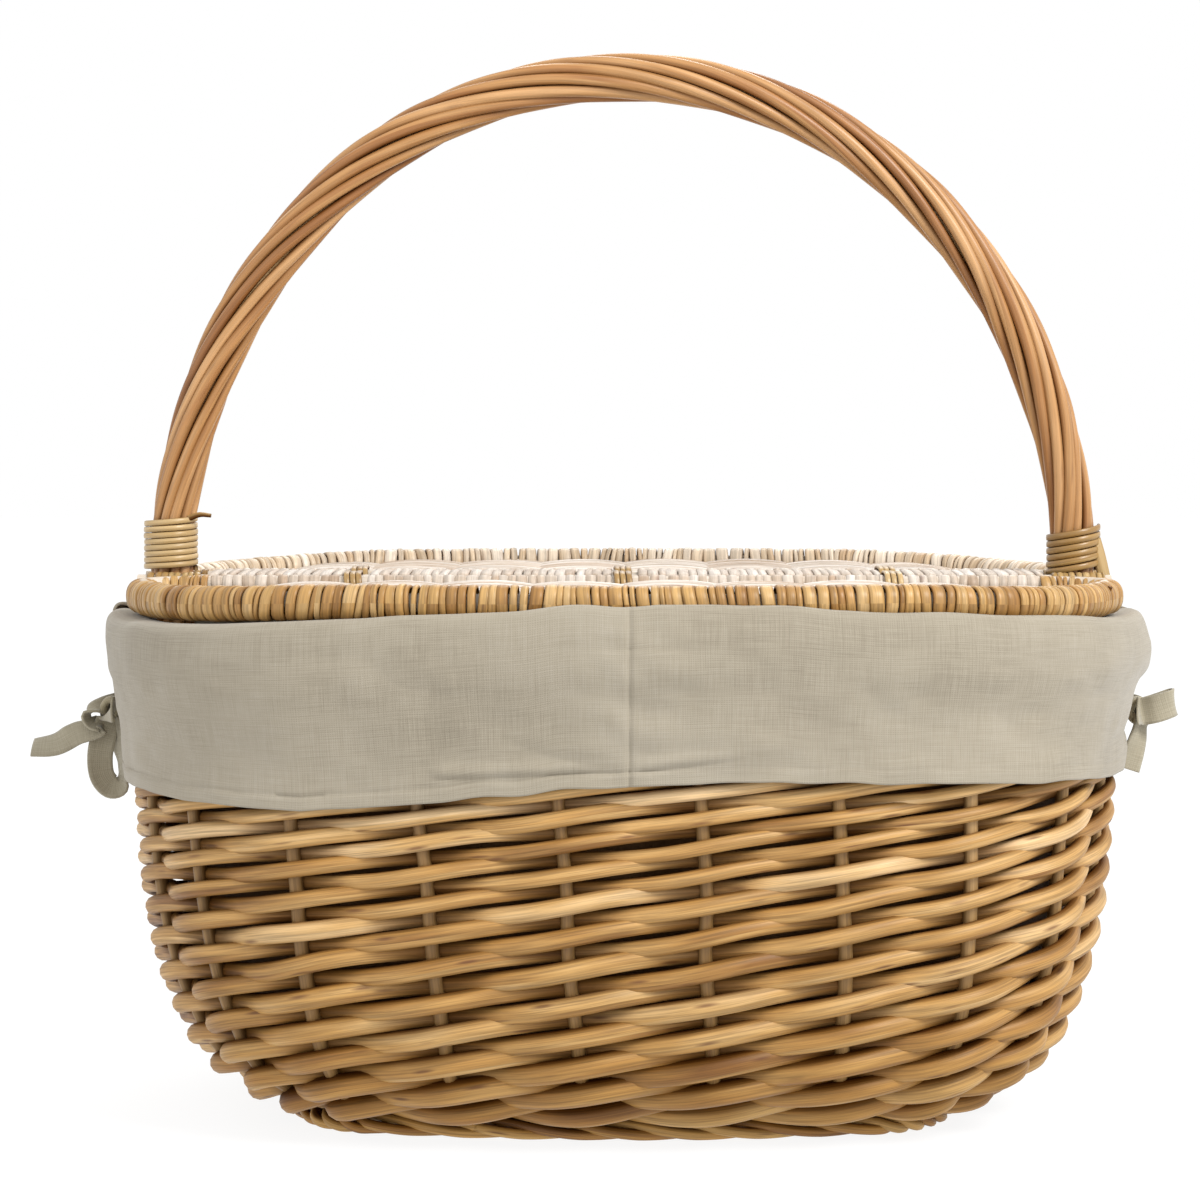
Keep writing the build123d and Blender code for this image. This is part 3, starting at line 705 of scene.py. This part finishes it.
def coil(bundle, centre_at, out_a, out_b, turns, pitch, ring, width, thick, slope=0.0, tint=None):
    """A flat cane wound in turns; ring is (half spread, radius) of the line it is wound on."""
    rng = bundle.rng
    count = int(turns * 44)
    travel = np.linspace(0, turns, count)
    angle = 2 * np.pi * travel
    spread, radius = ring
    side = np.clip(np.cos(angle) * 3, -1, 1) * spread
    swell = radius + wander(rng, count, 30, 0.12)
    along = (travel - turns / 2) * pitch + slope * np.cos(angle) + wander(rng, count, 26, 0.1)
    centre = centre_at(along)
    outward = out_a * np.cos(angle)[:, None] + out_b * np.sin(angle)[:, None]
    line = centre + out_a * side[:, None] + outward * swell[:, None]
    bundle.tube(line, 1.0, outward, sides=8, flat=(thick / 2, width / 2), square=0.6, tint=tint)


def make_bindings():
    """Cane wound round both feet of the handle."""
    for name, middle, turns, slope, low, high in (
        ("left", -184.2, 8, 0.3, 216.4, 237.8), ("right", 182.4, 6, 1.5, 215.4, 233.6)
    ):
        bundle = Bundle(40 + turns)
        pitch = (high - low) / (turns + 0.6)

        def centre_at(along, middle=middle, low=low, high=high):
            height = (low + high) / 2 + along
            return np.stack([0 * along + middle, 0 * along, height], axis=-1)

        coil(bundle, centre_at, ALONG_X, ALONG_Y, turns, pitch, (0, 10.2), pitch * 0.96, 1.5, slope)
        if name == "left":
            stub = [(-176.0, -6.0, 238.0), (-171.5, -7.0, 239.4), (-167.0, -7.2, 239.0)]
            stub = smooth_line(stub, 12)
            bundle.tube(stub, np.linspace(1.3, 0.8, 12), UP, sides=8, tint=0.0)
        if name == "right":
            tail = [(190.5, -4.0, 229.5), (192.6, -4.6, 222.0), (194.6, -4.4, 213.5)]
            tail = smooth_line(tail, 24)
            bundle.tube(tail, 1.0, np.array([0, -1.0, 0]), sides=10, flat=(0.8, 2.6), square=0.7)
        node = f"handle_binding_{name}"
        bundle.build(node + "_cane", "basket", CANE, "cane", node)


make_handle()
make_bindings()


# ---- bridge and hinge loops ----
ROD_Y, HINGE_Y, ROD_Z = 13.5, 25.5, 212.0
LOOP_X = 108.0


def wound_bar(bundle, start, stop, spread, radius, y=0.0, width=(3.0, 5.0)):
    """Flat skeins wound side by side along X round a bar, each its own closed band."""
    rng = bundle.rng
    x = start
    while x < stop:
        wide = min(rng.uniform(*width), stop - x + 0.6)
        lean = rng.uniform(-0.5, 0.5)
        band_rows = []
        lift = rng.uniform(0, 0.25)
        profile = [(0.0, -0.5), (0.06, 0.1), (0.5, 0.4), (0.94, 0.1), (1.0, -0.5)]
        turn = np.linspace(0, 2 * np.pi, 40, endpoint=False)
        for part, bulge in profile:
            size = radius + bulge + lift
            side = np.clip(np.cos(turn) * 3, -1, 1) * spread
            band_rows.append(np.stack([
                x + wide * part + lean * np.sin(turn),
                y + side + size * np.cos(turn),
                ROD_Z + size * np.sin(turn)], axis=-1))
        rows = np.array(band_rows).transpose(1, 0, 2)
        add_band(bundle, rows, wide)
        x += wide


def add_band(bundle, rows, wide):
    """One closed band of skein; rows go round it, with the strip's width across."""
    rows = np.vstack([rows, rows[:1]])
    shift = bundle.rng.random(2) * 900
    length = run(rows[:, 2])
    around = np.linspace(0, wide, rows.shape[1]) + shift[0]
    across = np.abs(np.linspace(-1, 1, rows.shape[1]))
    tint = bundle.rng.beta(2.5, 2.5)
    # painted shade along both edges of each band, where the strips meet
    bundle.grid(rows, around, length + shift[1], tint, False, across[None] ** 3)


def make_bridge():
    """Skein wound round both bridge rods, stopping at each pair of hinge loops."""
    bundle = Bundle(50)
    gaps = [-LOOP_X, 0.0, LOOP_X]
    edges = [-168.0] + [g + s for g in gaps for s in (-5.5, 5.5)] + [168.0]
    for start, stop in zip(edges[::2], edges[1::2]):
        wound_bar(bundle, start, stop, ROD_Y, 4.0)
    bundle.build("bridge_skein", "basket", LID, "lid_willow", "bridge_weave")
    for name, sign in (("left", -1), ("right", 1)):
        lashing = Bundle(52 + sign)
        for y in (-ROD_Y, ROD_Y):
            start = sign * 182.0 - 10.0
            wound_bar(lashing, start, start + 21.0, 0.0, 4.05, y, (2.2, 3.0))
        node = f"bridge_lashing_{name}"
        lashing.build(node + "_cane", "basket", CANE, "cane", node)


def make_loops():
    """Three turns of cane for each hinge loop."""
    for side_name, side in (("front", -1), ("rear", 1)):
        for place, x in (("left", -LOOP_X), ("middle", 0.0), ("right", LOOP_X)):
            bundle = Bundle(200 + int(x) + side)
            middle = side * (ROD_Y + HINGE_Y) / 2

            def centre_at(along, x=x, middle=middle):
                return np.stack([x + along, 0 * along + middle, 0 * along + ROD_Z], axis=-1)

            spread = (HINGE_Y - ROD_Y) / 2
            coil(bundle, centre_at, ALONG_Y, UP, 3, 2.35, (spread, 4.75), 2.3, 1.3)
            node = f"{side_name}_hinge_loop_{place}"
            bundle.build(node + "_cane", "basket", CANE, "cane", node)


make_bridge()
make_loops()


# ---- half lids ----
RIM_HALF_LENGTH, RIM_RADIUS, CORNER, BARE_HINGE = 195.0, 6.5, 16.0, 166.0
HINGE_SKEIN_RADIUS = 3.6
RIM_STUBS = [
    (134.0, [(0.4, -3.5), (2.2, -7.5), (0.8, -10.0)]), (186.0, [(3, 1), (6, 2.6), (9.5, 5.2)])]


def lid_outline(side, count=1400):
    """Hoop line of a half lid from one end of the hinge line to the other."""
    along = np.linspace(0, PERIMETER / 2, 4001) + (LEFT_END if side < 0 else 0.0)
    place, _ = oval(along, RIM_HALF_LENGTH)
    arc = place[place[:, 1] * side > HINGE_Y + CORNER]
    sign = np.sign(arc[0][0])
    end = oval_reach(RIM_HALF_LENGTH, HINGE_Y + CORNER * 0.3)
    turn = [
        [sign * BARE_HINGE, side * HINGE_Y, 0],
        [sign * (end - CORNER), side * HINGE_Y, 0],
        [sign * (end - CORNER * 0.3), side * (HINGE_Y + CORNER * 0.3), 0],
    ]
    back = [[-p[0], p[1], 0] for p in turn][::-1]
    line = smooth_line(np.vstack([turn, arc[::60], arc[-1:], back]), count)
    line[:, 2] = ROD_Z - droop(line[:, 0])
    return line


def make_rim(side_name, side):
    """The rim: flat willow skeins wound round the hoop, each one its own band."""
    bundle = Bundle(70 + side)
    rng = bundle.rng
    line = lid_outline(side)
    tangent = unit(np.gradient(line, axis=0))
    out = np.cross(tangent, UP)
    if np.sum(out[700] * line[700]) < 0:
        out = -out
    length = run(line)
    total = length[-1]
    turn = np.linspace(0, 2 * np.pi, 28, endpoint=False)
    profile = [
        (0.0, -0.9), (0.05, -0.12), (0.25, 0.14), (0.5, 0.2), (0.75, 0.14), (0.95, -0.12),
        (1.0, -0.9)]
    travel = 0.0
    lean = rng.uniform(-1, 1)
    while travel < total - 0.5:
        wide = min(rng.choice([rng.uniform(1.8, 3.2), rng.uniform(3.2, 5.8)]), total - travel)
        lean = 0.75 * lean + rng.uniform(-0.8, 0.8)
        lift = rng.uniform(-0.15, 0.3)
        rows = []
        for part, bulge in profile:
            reach = travel + wide * part + lean * np.sin(turn + 0.6) + rng.uniform(-0.04, 0.04, 28)
            reach = np.clip(reach, 0, total)
            centre = at_run(reach, length, line)
            away = unit(at_run(reach, length, out))
            size = RIM_RADIUS + bulge + lift
            across, tall = power(np.cos(turn), 0.85), power(np.sin(turn), 0.85)
            ring = away * (size * 0.95 * across)[:, None] + UP * (size * tall)[:, None]
            rows.append(centre + ring)
        add_band(bundle, np.array(rows).transpose(1, 0, 2), wide)
        travel += wide + rng.choice([0.0, 0.0, rng.uniform(0.2, 0.7)])
    if side < 0:
        # two short ends of skein stick out of the front rim
        for x, ends in RIM_STUBS:
            y = line[np.argmin(np.abs(line[:, 0] - x) + (line[:, 1] > -40) * 99), 1]
            stub = [(x + 0.3 * a, y - 5.6 - 0.3 * a, ROD_Z - droop(x) + b) for a, b in ends]
            bundle.tube(smooth_line(stub, 12), np.linspace(1.5, 0.9, 12), UP, sides=8, tint=0.1)
    node = f"{side_name}_lid_rim_wrap"
    wrap = RIM if side < 0 else RIM_PALE
    bundle.build(node + "_skein", f"{side_name}_lid", wrap, "rim_skein", node)


def make_panel(side_name, side):
    """Flat ribs across the lid, and thin rods woven over and under them."""
    ribs = Bundle(85 + side)
    rib_pitch, level = 36.0, 211.2
    for number in range(8):
        x = (number - 3.5) * rib_pitch
        quarter = oval(np.linspace(0, QUARTER * 0.9999, 400), RIM_HALF_LENGTH - 3.0)[0]
        far = float(np.interp(-abs(x), -quarter[:, 0], quarter[:, 1]))
        y = np.linspace(HINGE_Y + 3, far, 40)
        bow = x + wander(ribs.rng, 40, 12, 0.3)
        line = np.stack([bow, side * y, 0 * y + level - droop(x)], axis=-1)
        ribs.tube(line, 1.0, UP, sides=10, flat=(0.8, 2.6), square=0.8, open_back=True)
    node = f"{side_name}_lid_ribs"
    ribs.build(node + "_flat", f"{side_name}_lid", LID, "willow_stakes", node)
    bundle = Bundle(80 + side)
    rng = bundle.rng
    pitch, radius = 3.3, 1.68
    rows = int((RIM_HALF_LENGTH - HALF_LENGTH + HALF_WIDTH - HINGE_Y - 9.0) / pitch)
    for row in range(rows):
        y = HINGE_Y + 6.2 + row * pitch
        reach = oval_reach(RIM_HALF_LENGTH - 4.5, y)
        if y < HINGE_Y + CORNER:
            reach = min(reach, BARE_HINGE + 11.0 + 0.5 * (y - HINGE_Y))
        count = max(30, int(reach * 1.2))
        x = np.linspace(-reach, reach, count)
        over = power(np.sin(np.pi * (x / rib_pitch + row)), 0.8)
        z = level - droop(x) + 1.5 * over + wander(rng, count, 16, 0.12)
        line = np.stack([x, side * (y + wander(rng, count, 20, 0.15)), z], axis=-1)
        bundle.tube(line, radius * rng.uniform(0.92, 1.1), UP, sides=8, open_back=True)
    for start, stop in ((-165.0, -113.5), (-102.5, -5.5), (5.5, 102.5), (113.5, 165.0)):
        wound_bar(bundle, start, stop, 0.0, HINGE_SKEIN_RADIUS, side * HINGE_Y)
    node = f"{side_name}_lid_weave"
    bundle.build(node + "_rods", f"{side_name}_lid", LID, "lid_willow", node)


for side_name, side in (("front", -1), ("rear", 1)):
    make_rim(side_name, side)
    make_panel(side_name, side)


# ---- CAD nodes that keep their shape ----
def plain_wood(name, tones):
    """Willow for a plain rod: grain by position, since it has no grain coordinates."""
    tones = [colour(*tone) for tone in tones]
    s = Shader(name)
    place = s.objects()
    mapping = s.node("ShaderNodeMapping")
    mapping.inputs["Scale"].default_value = (30, 900, 900)
    s.link(place, mapping.inputs["Vector"])
    fibres = s.noise(mapping.outputs[0], 1.0, 4.0, 0.6)
    patches = s.noise(place, 45.0, 2.0)
    tone = s.math("ADD", s.math("MULTIPLY", fibres, 0.6), s.math("MULTIPLY", patches, 0.5))
    base = s.ramp(tone, [(0.3, tones[0]), (0.55, tones[1]), (0.8, tones[2])])
    s.link(base, s.shader.inputs["Base Color"])
    s.link(s.remap(fibres, 0.3, 0.7, 0.6, 0.42), s.shader.inputs["Roughness"])
    s.bump(fibres, 0.3, 0.0003)
    return s.material


ROD_WOOD = plain_wood("plain_willow", [(132, 92, 50), (168, 128, 80), (196, 160, 110)])
PALE_WOOD = plain_wood("pale_willow", [(176, 156, 132), (200, 186, 168), (214, 204, 192)])
for wood, nodes in (
    (ROD_WOOD, ("handle_core", "base_long_sticks", "base_short_sticks")),
    (PALE_WOOD, ("bridge_rod_front", "bridge_rod_rear", "front_lid_hoop", "rear_lid_hoop")),
):
    for node in nodes:
        kept = frame["nodes"][node]
        kept.data.materials.clear()
        kept.data.materials.append(wood)


# ---- linen ----
SLIT = 12.5
# sections of the cuff, from inside the border, over it and down to the hem: lying flat on the
# border, and standing up in front of the lid's rim
CUFF_INSIDE = [
    (189.4, 188), (189.6, 196), (190.6, 201.6), (194.5, 203.7), (200, 204.2)]
CUFF_FLAT = CUFF_INSIDE + [
    (203.6, 204.2), (206.8, 203), (208.8, 199.2), (209.4, 191), (208.4, 181), (205.4, 171),
    (203.2, 162), (202.2, 150), (201.6, 136)]
CUFF_PROUD = CUFF_INSIDE + [
    (203.6, 207.6), (205.6, 211.6), (208.4, 210.2), (210, 200), (209.4, 187), (206.8, 174),
    (204.4, 162), (203, 150), (202.4, 136)]
HEM_X = [-205, -165, -120, -60, -10, 60, 130, 180, 205]
HEM_Z = [137, 135.5, 134.0, 140, 145, 146.5, 145, 142, 139]
TOP_X = [-205, -150, -120, -60, -10, 20, 90, 160, 205]
TOP_PART = [0.0, 0.1, 0.25, 0.5, 0.95, 1.0, 0.6, 0.5, 0.1]


def cloth_piece(name, grid, flat_u, flat_v, thickness, nodes, material=None, slot="linen"):
    """A sheet from a grid of points, with its flat coordinates, given a real thickness."""
    rows, cols = grid.shape[:2]
    mesh = bpy.data.meshes.new(name)
    index = np.arange(rows * cols).reshape(rows, cols)
    quads = corners_of(index)
    mesh.from_pydata((grid.reshape(-1, 3) * MM).tolist(), [], quads.reshape(-1, 4).tolist())
    flat = np.stack(np.broadcast_arrays(flat_u[None, :], flat_v[:, None]), axis=-1)
    flat = flat.reshape(-1, 2) * MM
    layer = mesh.uv_layers.new(name="cloth")
    layer.data.foreach_set("uv", flat[quads.reshape(-1)].astype(np.float32).ravel())
    piece = finish_piece(mesh, name, "basket", material or LINEN, slot, *nodes)
    thicken = piece.modifiers.new("thickness", "SOLIDIFY")
    thicken.thickness = thickness * MM
    thicken.offset = 0
    return piece


def soft_noise(rng, rows, cols, step_down, step_along):
    """Smooth random surface, one new value every few rows and columns."""
    coarse = rng.normal(0, 1, (int(rows / step_down) + 3, int(cols / step_along) + 3))
    down = np.linspace(0, coarse.shape[0] - 2.01, rows)
    over = np.linspace(0, coarse.shape[1] - 2.01, cols)
    i, j = down.astype(int), over.astype(int)
    a, b = ease(down - i)[:, None], ease(over - j)[None]
    return (
        coarse[np.ix_(i, j)] * (1 - a) * (1 - b) + coarse[np.ix_(i + 1, j)] * a * (1 - b)
        + coarse[np.ix_(i, j + 1)] * (1 - a) * b + coarse[np.ix_(i + 1, j + 1)] * a * b)


def make_cuff(node, start, stop, seed, facing):
    """One cuff panel, folded over the border and drawn in by the ties at both ends."""
    rng = np.random.default_rng(seed)
    cols, rows = 640, 120
    along = np.linspace(start, stop, cols)
    flat, proud = (
        smooth_line([(x, 0, z) for x, z in line], rows)[:, None]
        for line in (CUFF_FLAT, CUFF_PROUD))
    x = facing * oval(along, 204.0)[0][:, 0]
    part = np.clip(np.interp(x, TOP_X, TOP_PART) + wander(rng, cols, 24, 0.09), 0, 1)[None, :, None]
    section = flat * (1 - part) + proud * part
    half, height = section[..., 0], section[..., 2]
    steps = np.linalg.norm(np.diff(section, axis=0), axis=2)
    drop = np.vstack([np.zeros(cols), np.cumsum(steps, axis=0)])
    outside = np.clip((drop - 30) / 14, 0, 1)
    hem = np.interp(x, HEM_X, HEM_Z) + wander(rng, cols, 18, 0.35)
    height = height - droop(x)[None] * np.clip((height - 150) / 50, 0, 1)
    crown = height.max(axis=0)
    stretch = (crown - hem) / (crown - 136.0)
    height = np.where(drop > 30, crown - (crown - height) * stretch, height)
    edge = np.minimum(along - start, stop - along)[None]
    near = np.sign((start + stop) / 2 - along)[None]
    left = (facing * x < 0)[None]
    swell = np.where(left, -1.9, 2.6)
    half = half + swell * bump(height - 187, 13) * bump(edge, 45) * outside
    level = np.clip((196 - height) / 50, 0, 1)
    broad = soft_noise(rng, rows, cols, 50, 70) * 2.2 + soft_noise(rng, rows, cols, 24, 34) * 1.1
    broad = np.maximum(broad, -0.3) * np.clip((edge - 8) / 50, 0.15, 1)
    fine = soft_noise(rng, rows, cols, 9, 11) * 0.22
    half = half + (broad * level**0.6 + fine) * outside
    pull = bump(height - 162, 10) * bump(edge, 17)
    ray = np.arctan2(height - 162, edge + 9)
    creases = np.sin(ray * 11 + 1.0) * bump(edge, 42) * bump(height - 164, 24)
    half = half - np.where(left, 2.4, 4.6) * pull + np.where(left, 0.8, 1.2) * creases * outside
    seam = (along - (start + stop) / 2)[None] - 2.0
    pucker = bump(seam, 10) * np.sin(height / 2.6 + seam / 6)
    half = half + 0.35 * pucker * outside - 1.0 * bump(seam, 0.9) * (drop > 22)
    for first, last, low, tilt in ((1.0, 44.0, 150.5, 0.11), (-74.0, -1.0, 151.0, 0.05)):
        window = np.clip((seam - first) / 6, 0, 1) * np.clip((last - seam) / 22, 0, 1)
        line = height - low - tilt * seam
        half = half + (1.3 * bump(line - 2.4, 2.4) - 0.8 * bump(line, 0.9)) * window
    above = height - hem
    crease = bump(above - 5.4, 0.6)
    ripple = np.sin(along / 2.9)[None] * bump(above - 4.5, 2.5)
    sewn = 1 - 0.8 * np.clip((seam - 4) / 16, 0, 1)
    half = half + (0.4 * (above < 5.2) - 0.8 * crease + 0.16 * ripple) * outside * sewn
    close = 8.0 * bump(edge, 30) * np.clip((drop - 16) / 14, 0, 1)
    shift = np.minimum(close + 6.0 * pull, 11.6)
    grid = oval(np.broadcast_to(along, half.shape) - shift * near, half)[0]
    grid[..., 2] = height
    middle = drop[:, cols // 2]
    piece = cloth_piece(node + "_linen", grid, along * 1.02, middle, 1.1, [node])


def make_bag():
    """The liner inside the basket, with a slit at each handle foot."""
    rng = np.random.default_rng(90)
    cols, rows = 480, 90
    along = np.linspace(0, PERIMETER, cols)
    heights = np.linspace(wall_rise(12.0), wall_rise(199.0), rows)
    grid = np.zeros((rows, cols, 3))
    waves = sum(
        amp * np.sin(2 * np.pi * along * turns / PERIMETER + rng.uniform(0, 6.3))
        for amp, turns in ((0.8, 9), (0.7, 15), (0.4, 26)))
    for row, rise in enumerate(heights):
        depth = 2 * stake_depth(rise) + 4.5
        half, height, _ = wall(np.full_like(along, rise), depth)
        lean = np.clip((height - 150) / 50, 0, 1) * 2.0 + belly(height)
        place, _ = oval(along, half + lean + waves * 0.6 - 0.6)
        place[:, 2] = height
        grid[row] = place
    floor = []
    for part in np.linspace(0.02, 0.97, 30):
        ring = grid[0] * part
        ring[:, 2] = 12.4 + 0.5 * np.sin(ring[:, 0] / 14) * np.sin(ring[:, 1] / 11) * (1 - part)
        floor.append(ring)
    grid = np.vstack([np.array(floor), grid])
    down = run(grid[:, 0])
    # the bag's outward faces take the dark painted-shade linen, its inward faces plain linen
    piece = cloth_piece("liner_bag_linen", grid, along, down, 0.9, ["liner_bag"], LINEN_PAINTED_SHADE)
    mesh = piece.data
    mesh.materials.append(LINEN)
    piece.modifiers["thickness"].material_offset = 1
    bm = bmesh.new()
    bm.from_mesh(mesh)
    middles = [(f, f.calc_center_median()) for f in bm.faces]
    slit = [f for f, c in middles if abs(c.y) < 0.0115 and abs(c.x) > 0.15 and c.z > 0.126]
    bmesh.ops.delete(bm, geom=slit, context="FACES")
    bm.to_mesh(mesh)
    bm.free()


make_cuff("liner_cuff_front", LEFT_END + SLIT, PERIMETER - SLIT, 91, 1)
make_cuff("liner_cuff_rear", SLIT, LEFT_END - SLIT, 92, -1)
make_bag()


# ---- ties ----
TAPE_THICK = 0.9


def tape(node, points, width_dirs, width):
    """A flat tape through points, its width turned as the directions say."""
    count = 90
    line = smooth_line(points, count)
    ways = unit(smooth_line(width_dirs, count))
    tangent = unit(np.gradient(line, axis=0))
    ways = unit(ways - tangent * np.sum(ways * tangent, axis=1, keepdims=True))
    across = np.linspace(-0.5, 0.5, 9)
    cup = np.cross(tangent, ways)
    grid = line[:, None] + ways[:, None] * (across * width)[None, :, None]
    grid = grid + cup[:, None] * (0.5 * (across * 2) ** 2)[None, :, None]
    length = run(line)
    piece = cloth_piece(
        node + "_tape", grid, across * width, length, TAPE_THICK, [node], TAPE, "tape")


def make_ties():
    """A loose bow at the left end and a short one at the right."""
    tape("tie_left_front", [
        (-206, -22, 161.5), (-207.5, -13, 161), (-209, -5, 158),
        (-211.5, -4.5, 150),
        (-213.2, -4.5, 141), (-212.4, -5, 133), (-208.6, -5, 128.6), (-204.2, -5, 130),
        (-203.6, -4.5, 137), (-205.4, -4, 146), (-208, -2, 156)],
        [(0, 0, 1), (0.1, 0, 1), (0.8, 0.3, 0.5), (1, 0.2, 0), (1, 0.2, 0.1), (0.9, 0.3, 0.5),
         (0, 0.6, 1), (-0.6, 0.8, 0.4), (-0.6, 0.8, 0), (-0.7, 0.7, 0), (-0.5, 0.7, 0)], 10.4)
    tape("tie_left_rear", [
        (-206, 22, 161.5), (-207.5, 13, 161), (-210.5, 3, 160.5), (-215, -4, 159.8),
        (-217.8, -6, 157.6), (-216, -6.4, 154.6), (-212, -6, 153.6), (-214, -6.4, 152.4),
        (-222, -6.4, 150.6), (-231, -5, 146), (-241, -3, 144.6)],
        [(0, 0, 1), (0, 0, 1), (0.1, 0.5, 1), (0.1, 0.9, 0.5), (0.4, 0.9, 0.2), (0.1, 0.7, 0.5),
         (0.1, 0.3, 0.9), (0.1, 0.1, 1), (0.2, 0.2, 1), (0.3, 0.6, 0.9), (0.2, 0.8, 0.7)], 9.6)
    tape("tie_right_front", [
        (206, -22, 161), (207.5, -13, 160.5), (209.5, -6, 159.4), (215.5, -8, 160.8),
        (222.2, -6.5, 163), (222.6, -1, 163), (216, 0, 160.6), (210, -1.5, 159)],
        [(0, 0, 1), (0, 0, 1), (0, 0, 1), (-0.15, 0.3, 1), (-0.1, 0.1, 1), (-0.1, 0, 1),
         (-0.2, -0.2, 1), (0, 0, 1)], 11)
    tape("tie_right_rear", [
        (206, 22, 161), (207.5, 13, 160.5), (209.5, 4, 160), (209.6, -3, 156),
        (208.4, -5, 149), (206.4, -5.5, 142), (204.6, -6, 136)],
        [(0, 0, 1), (0, 0, 1), (0, 0.3, 1), (0.5, 0.8, 0.2), (1, 0.4, 0),
         (1, 0.3, 0.1), (1, 0.2, 0.3)], 9.6)
    for name, sign in (("left", -1), ("right", 1)):
        knot = Bundle(95 + sign)
        turn = np.linspace(0, 2 * np.pi * 1.6, 60)
        line = np.stack([
            sign * (209.0 + 3.0 * np.cos(turn)), 0.8 * np.sin(turn * 0.5) - 0.4,
            159.5 + 4.2 * np.sin(turn)], axis=-1)
        knot.tube(line, 1.0, ALONG_Y, sides=12, flat=(4.4, 1.6), square=0.7)
        knot.build(f"tie_{name}_knot", "basket", KNOT, "tape")


make_ties()


# ---- floor, light and camera ----
def make_stage():
    """A plain white floor under even light."""
    half = 6.0
    mesh = bpy.data.meshes.new("floor")
    corners = [(-half, -half, 0), (half, -half, 0), (half, half, 0), (-half, half, 0)]
    mesh.from_pydata(corners, [], [(0, 1, 2, 3)])
    s = Shader("floor_white")
    for label, value in (
        ("Base Color", (0.14, 0.14, 0.14, 1)), ("Emission Color", (1, 1, 1, 1)),
        ("Emission Strength", 0.89), ("Roughness", 1.0), ("Specular IOR Level", 0.0),
    ):
        s.shader.inputs[label].default_value = value
    mesh.materials.append(s.material)
    floor = bpy.data.objects.new("floor", mesh)
    bpy.context.scene.collection.objects.link(floor)


def make_light():
    """White surroundings and three large soft lamps."""
    world = bpy.data.worlds.new("studio")
    world.use_nodes = True
    background = world.node_tree.nodes["Background"]
    background.inputs[0].default_value = (1, 1, 1, 1)
    background.inputs[1].default_value = 1.0
    bpy.context.scene.world = world
    lamps = [
        ("key", (1.25, -1.3, 1.6), 0.9, 46.0),
        ("fill", (-1.6, -1.2, 0.9), 1.4, 3.5),
        ("back", (0.2, 1.6, 1.5), 1.2, 10.0),
    ]
    for name, place, size, power in lamps:
        lamp = bpy.data.lights.new(name, "AREA")
        lamp.shape = "DISK"
        lamp.size = size
        lamp.energy = power
        holder = bpy.data.objects.new(name, lamp)
        holder.location = place
        aim = np.array([0, 0, 0.18]) - np.array(place)
        yaw = math.atan2(aim[1], aim[0])
        pitch = math.atan2(aim[2], math.hypot(aim[0], aim[1]))
        holder.rotation_euler = (math.pi / 2 + pitch, 0, yaw - math.pi / 2)
        bpy.context.scene.collection.objects.link(holder)


def make_camera():
    """A little above the lid, looking almost straight at the long side."""
    distance, height = 1.5, 0.297
    # width in view at the basket's middle, and how far below and beside the camera it looks there
    view_width, aim_drop, aim_left = 0.4872107, 0.0925700, 0.0097442
    camera = bpy.data.cameras.new("camera")
    camera.sensor_width = 36.0
    camera.lens = 36.0 * distance / view_width
    holder = bpy.data.objects.new("camera", camera)
    holder.location = (0, -distance, height)
    pitch = math.atan(aim_drop / distance)
    yaw = math.atan(aim_left / distance)
    holder.rotation_euler = (math.pi / 2 - pitch, 0, yaw)
    bpy.context.scene.collection.objects.link(holder)
    bpy.context.scene.camera = holder


make_stage()
make_light()
make_camera()
bpy.context.scene.view_settings.view_transform = "Standard"
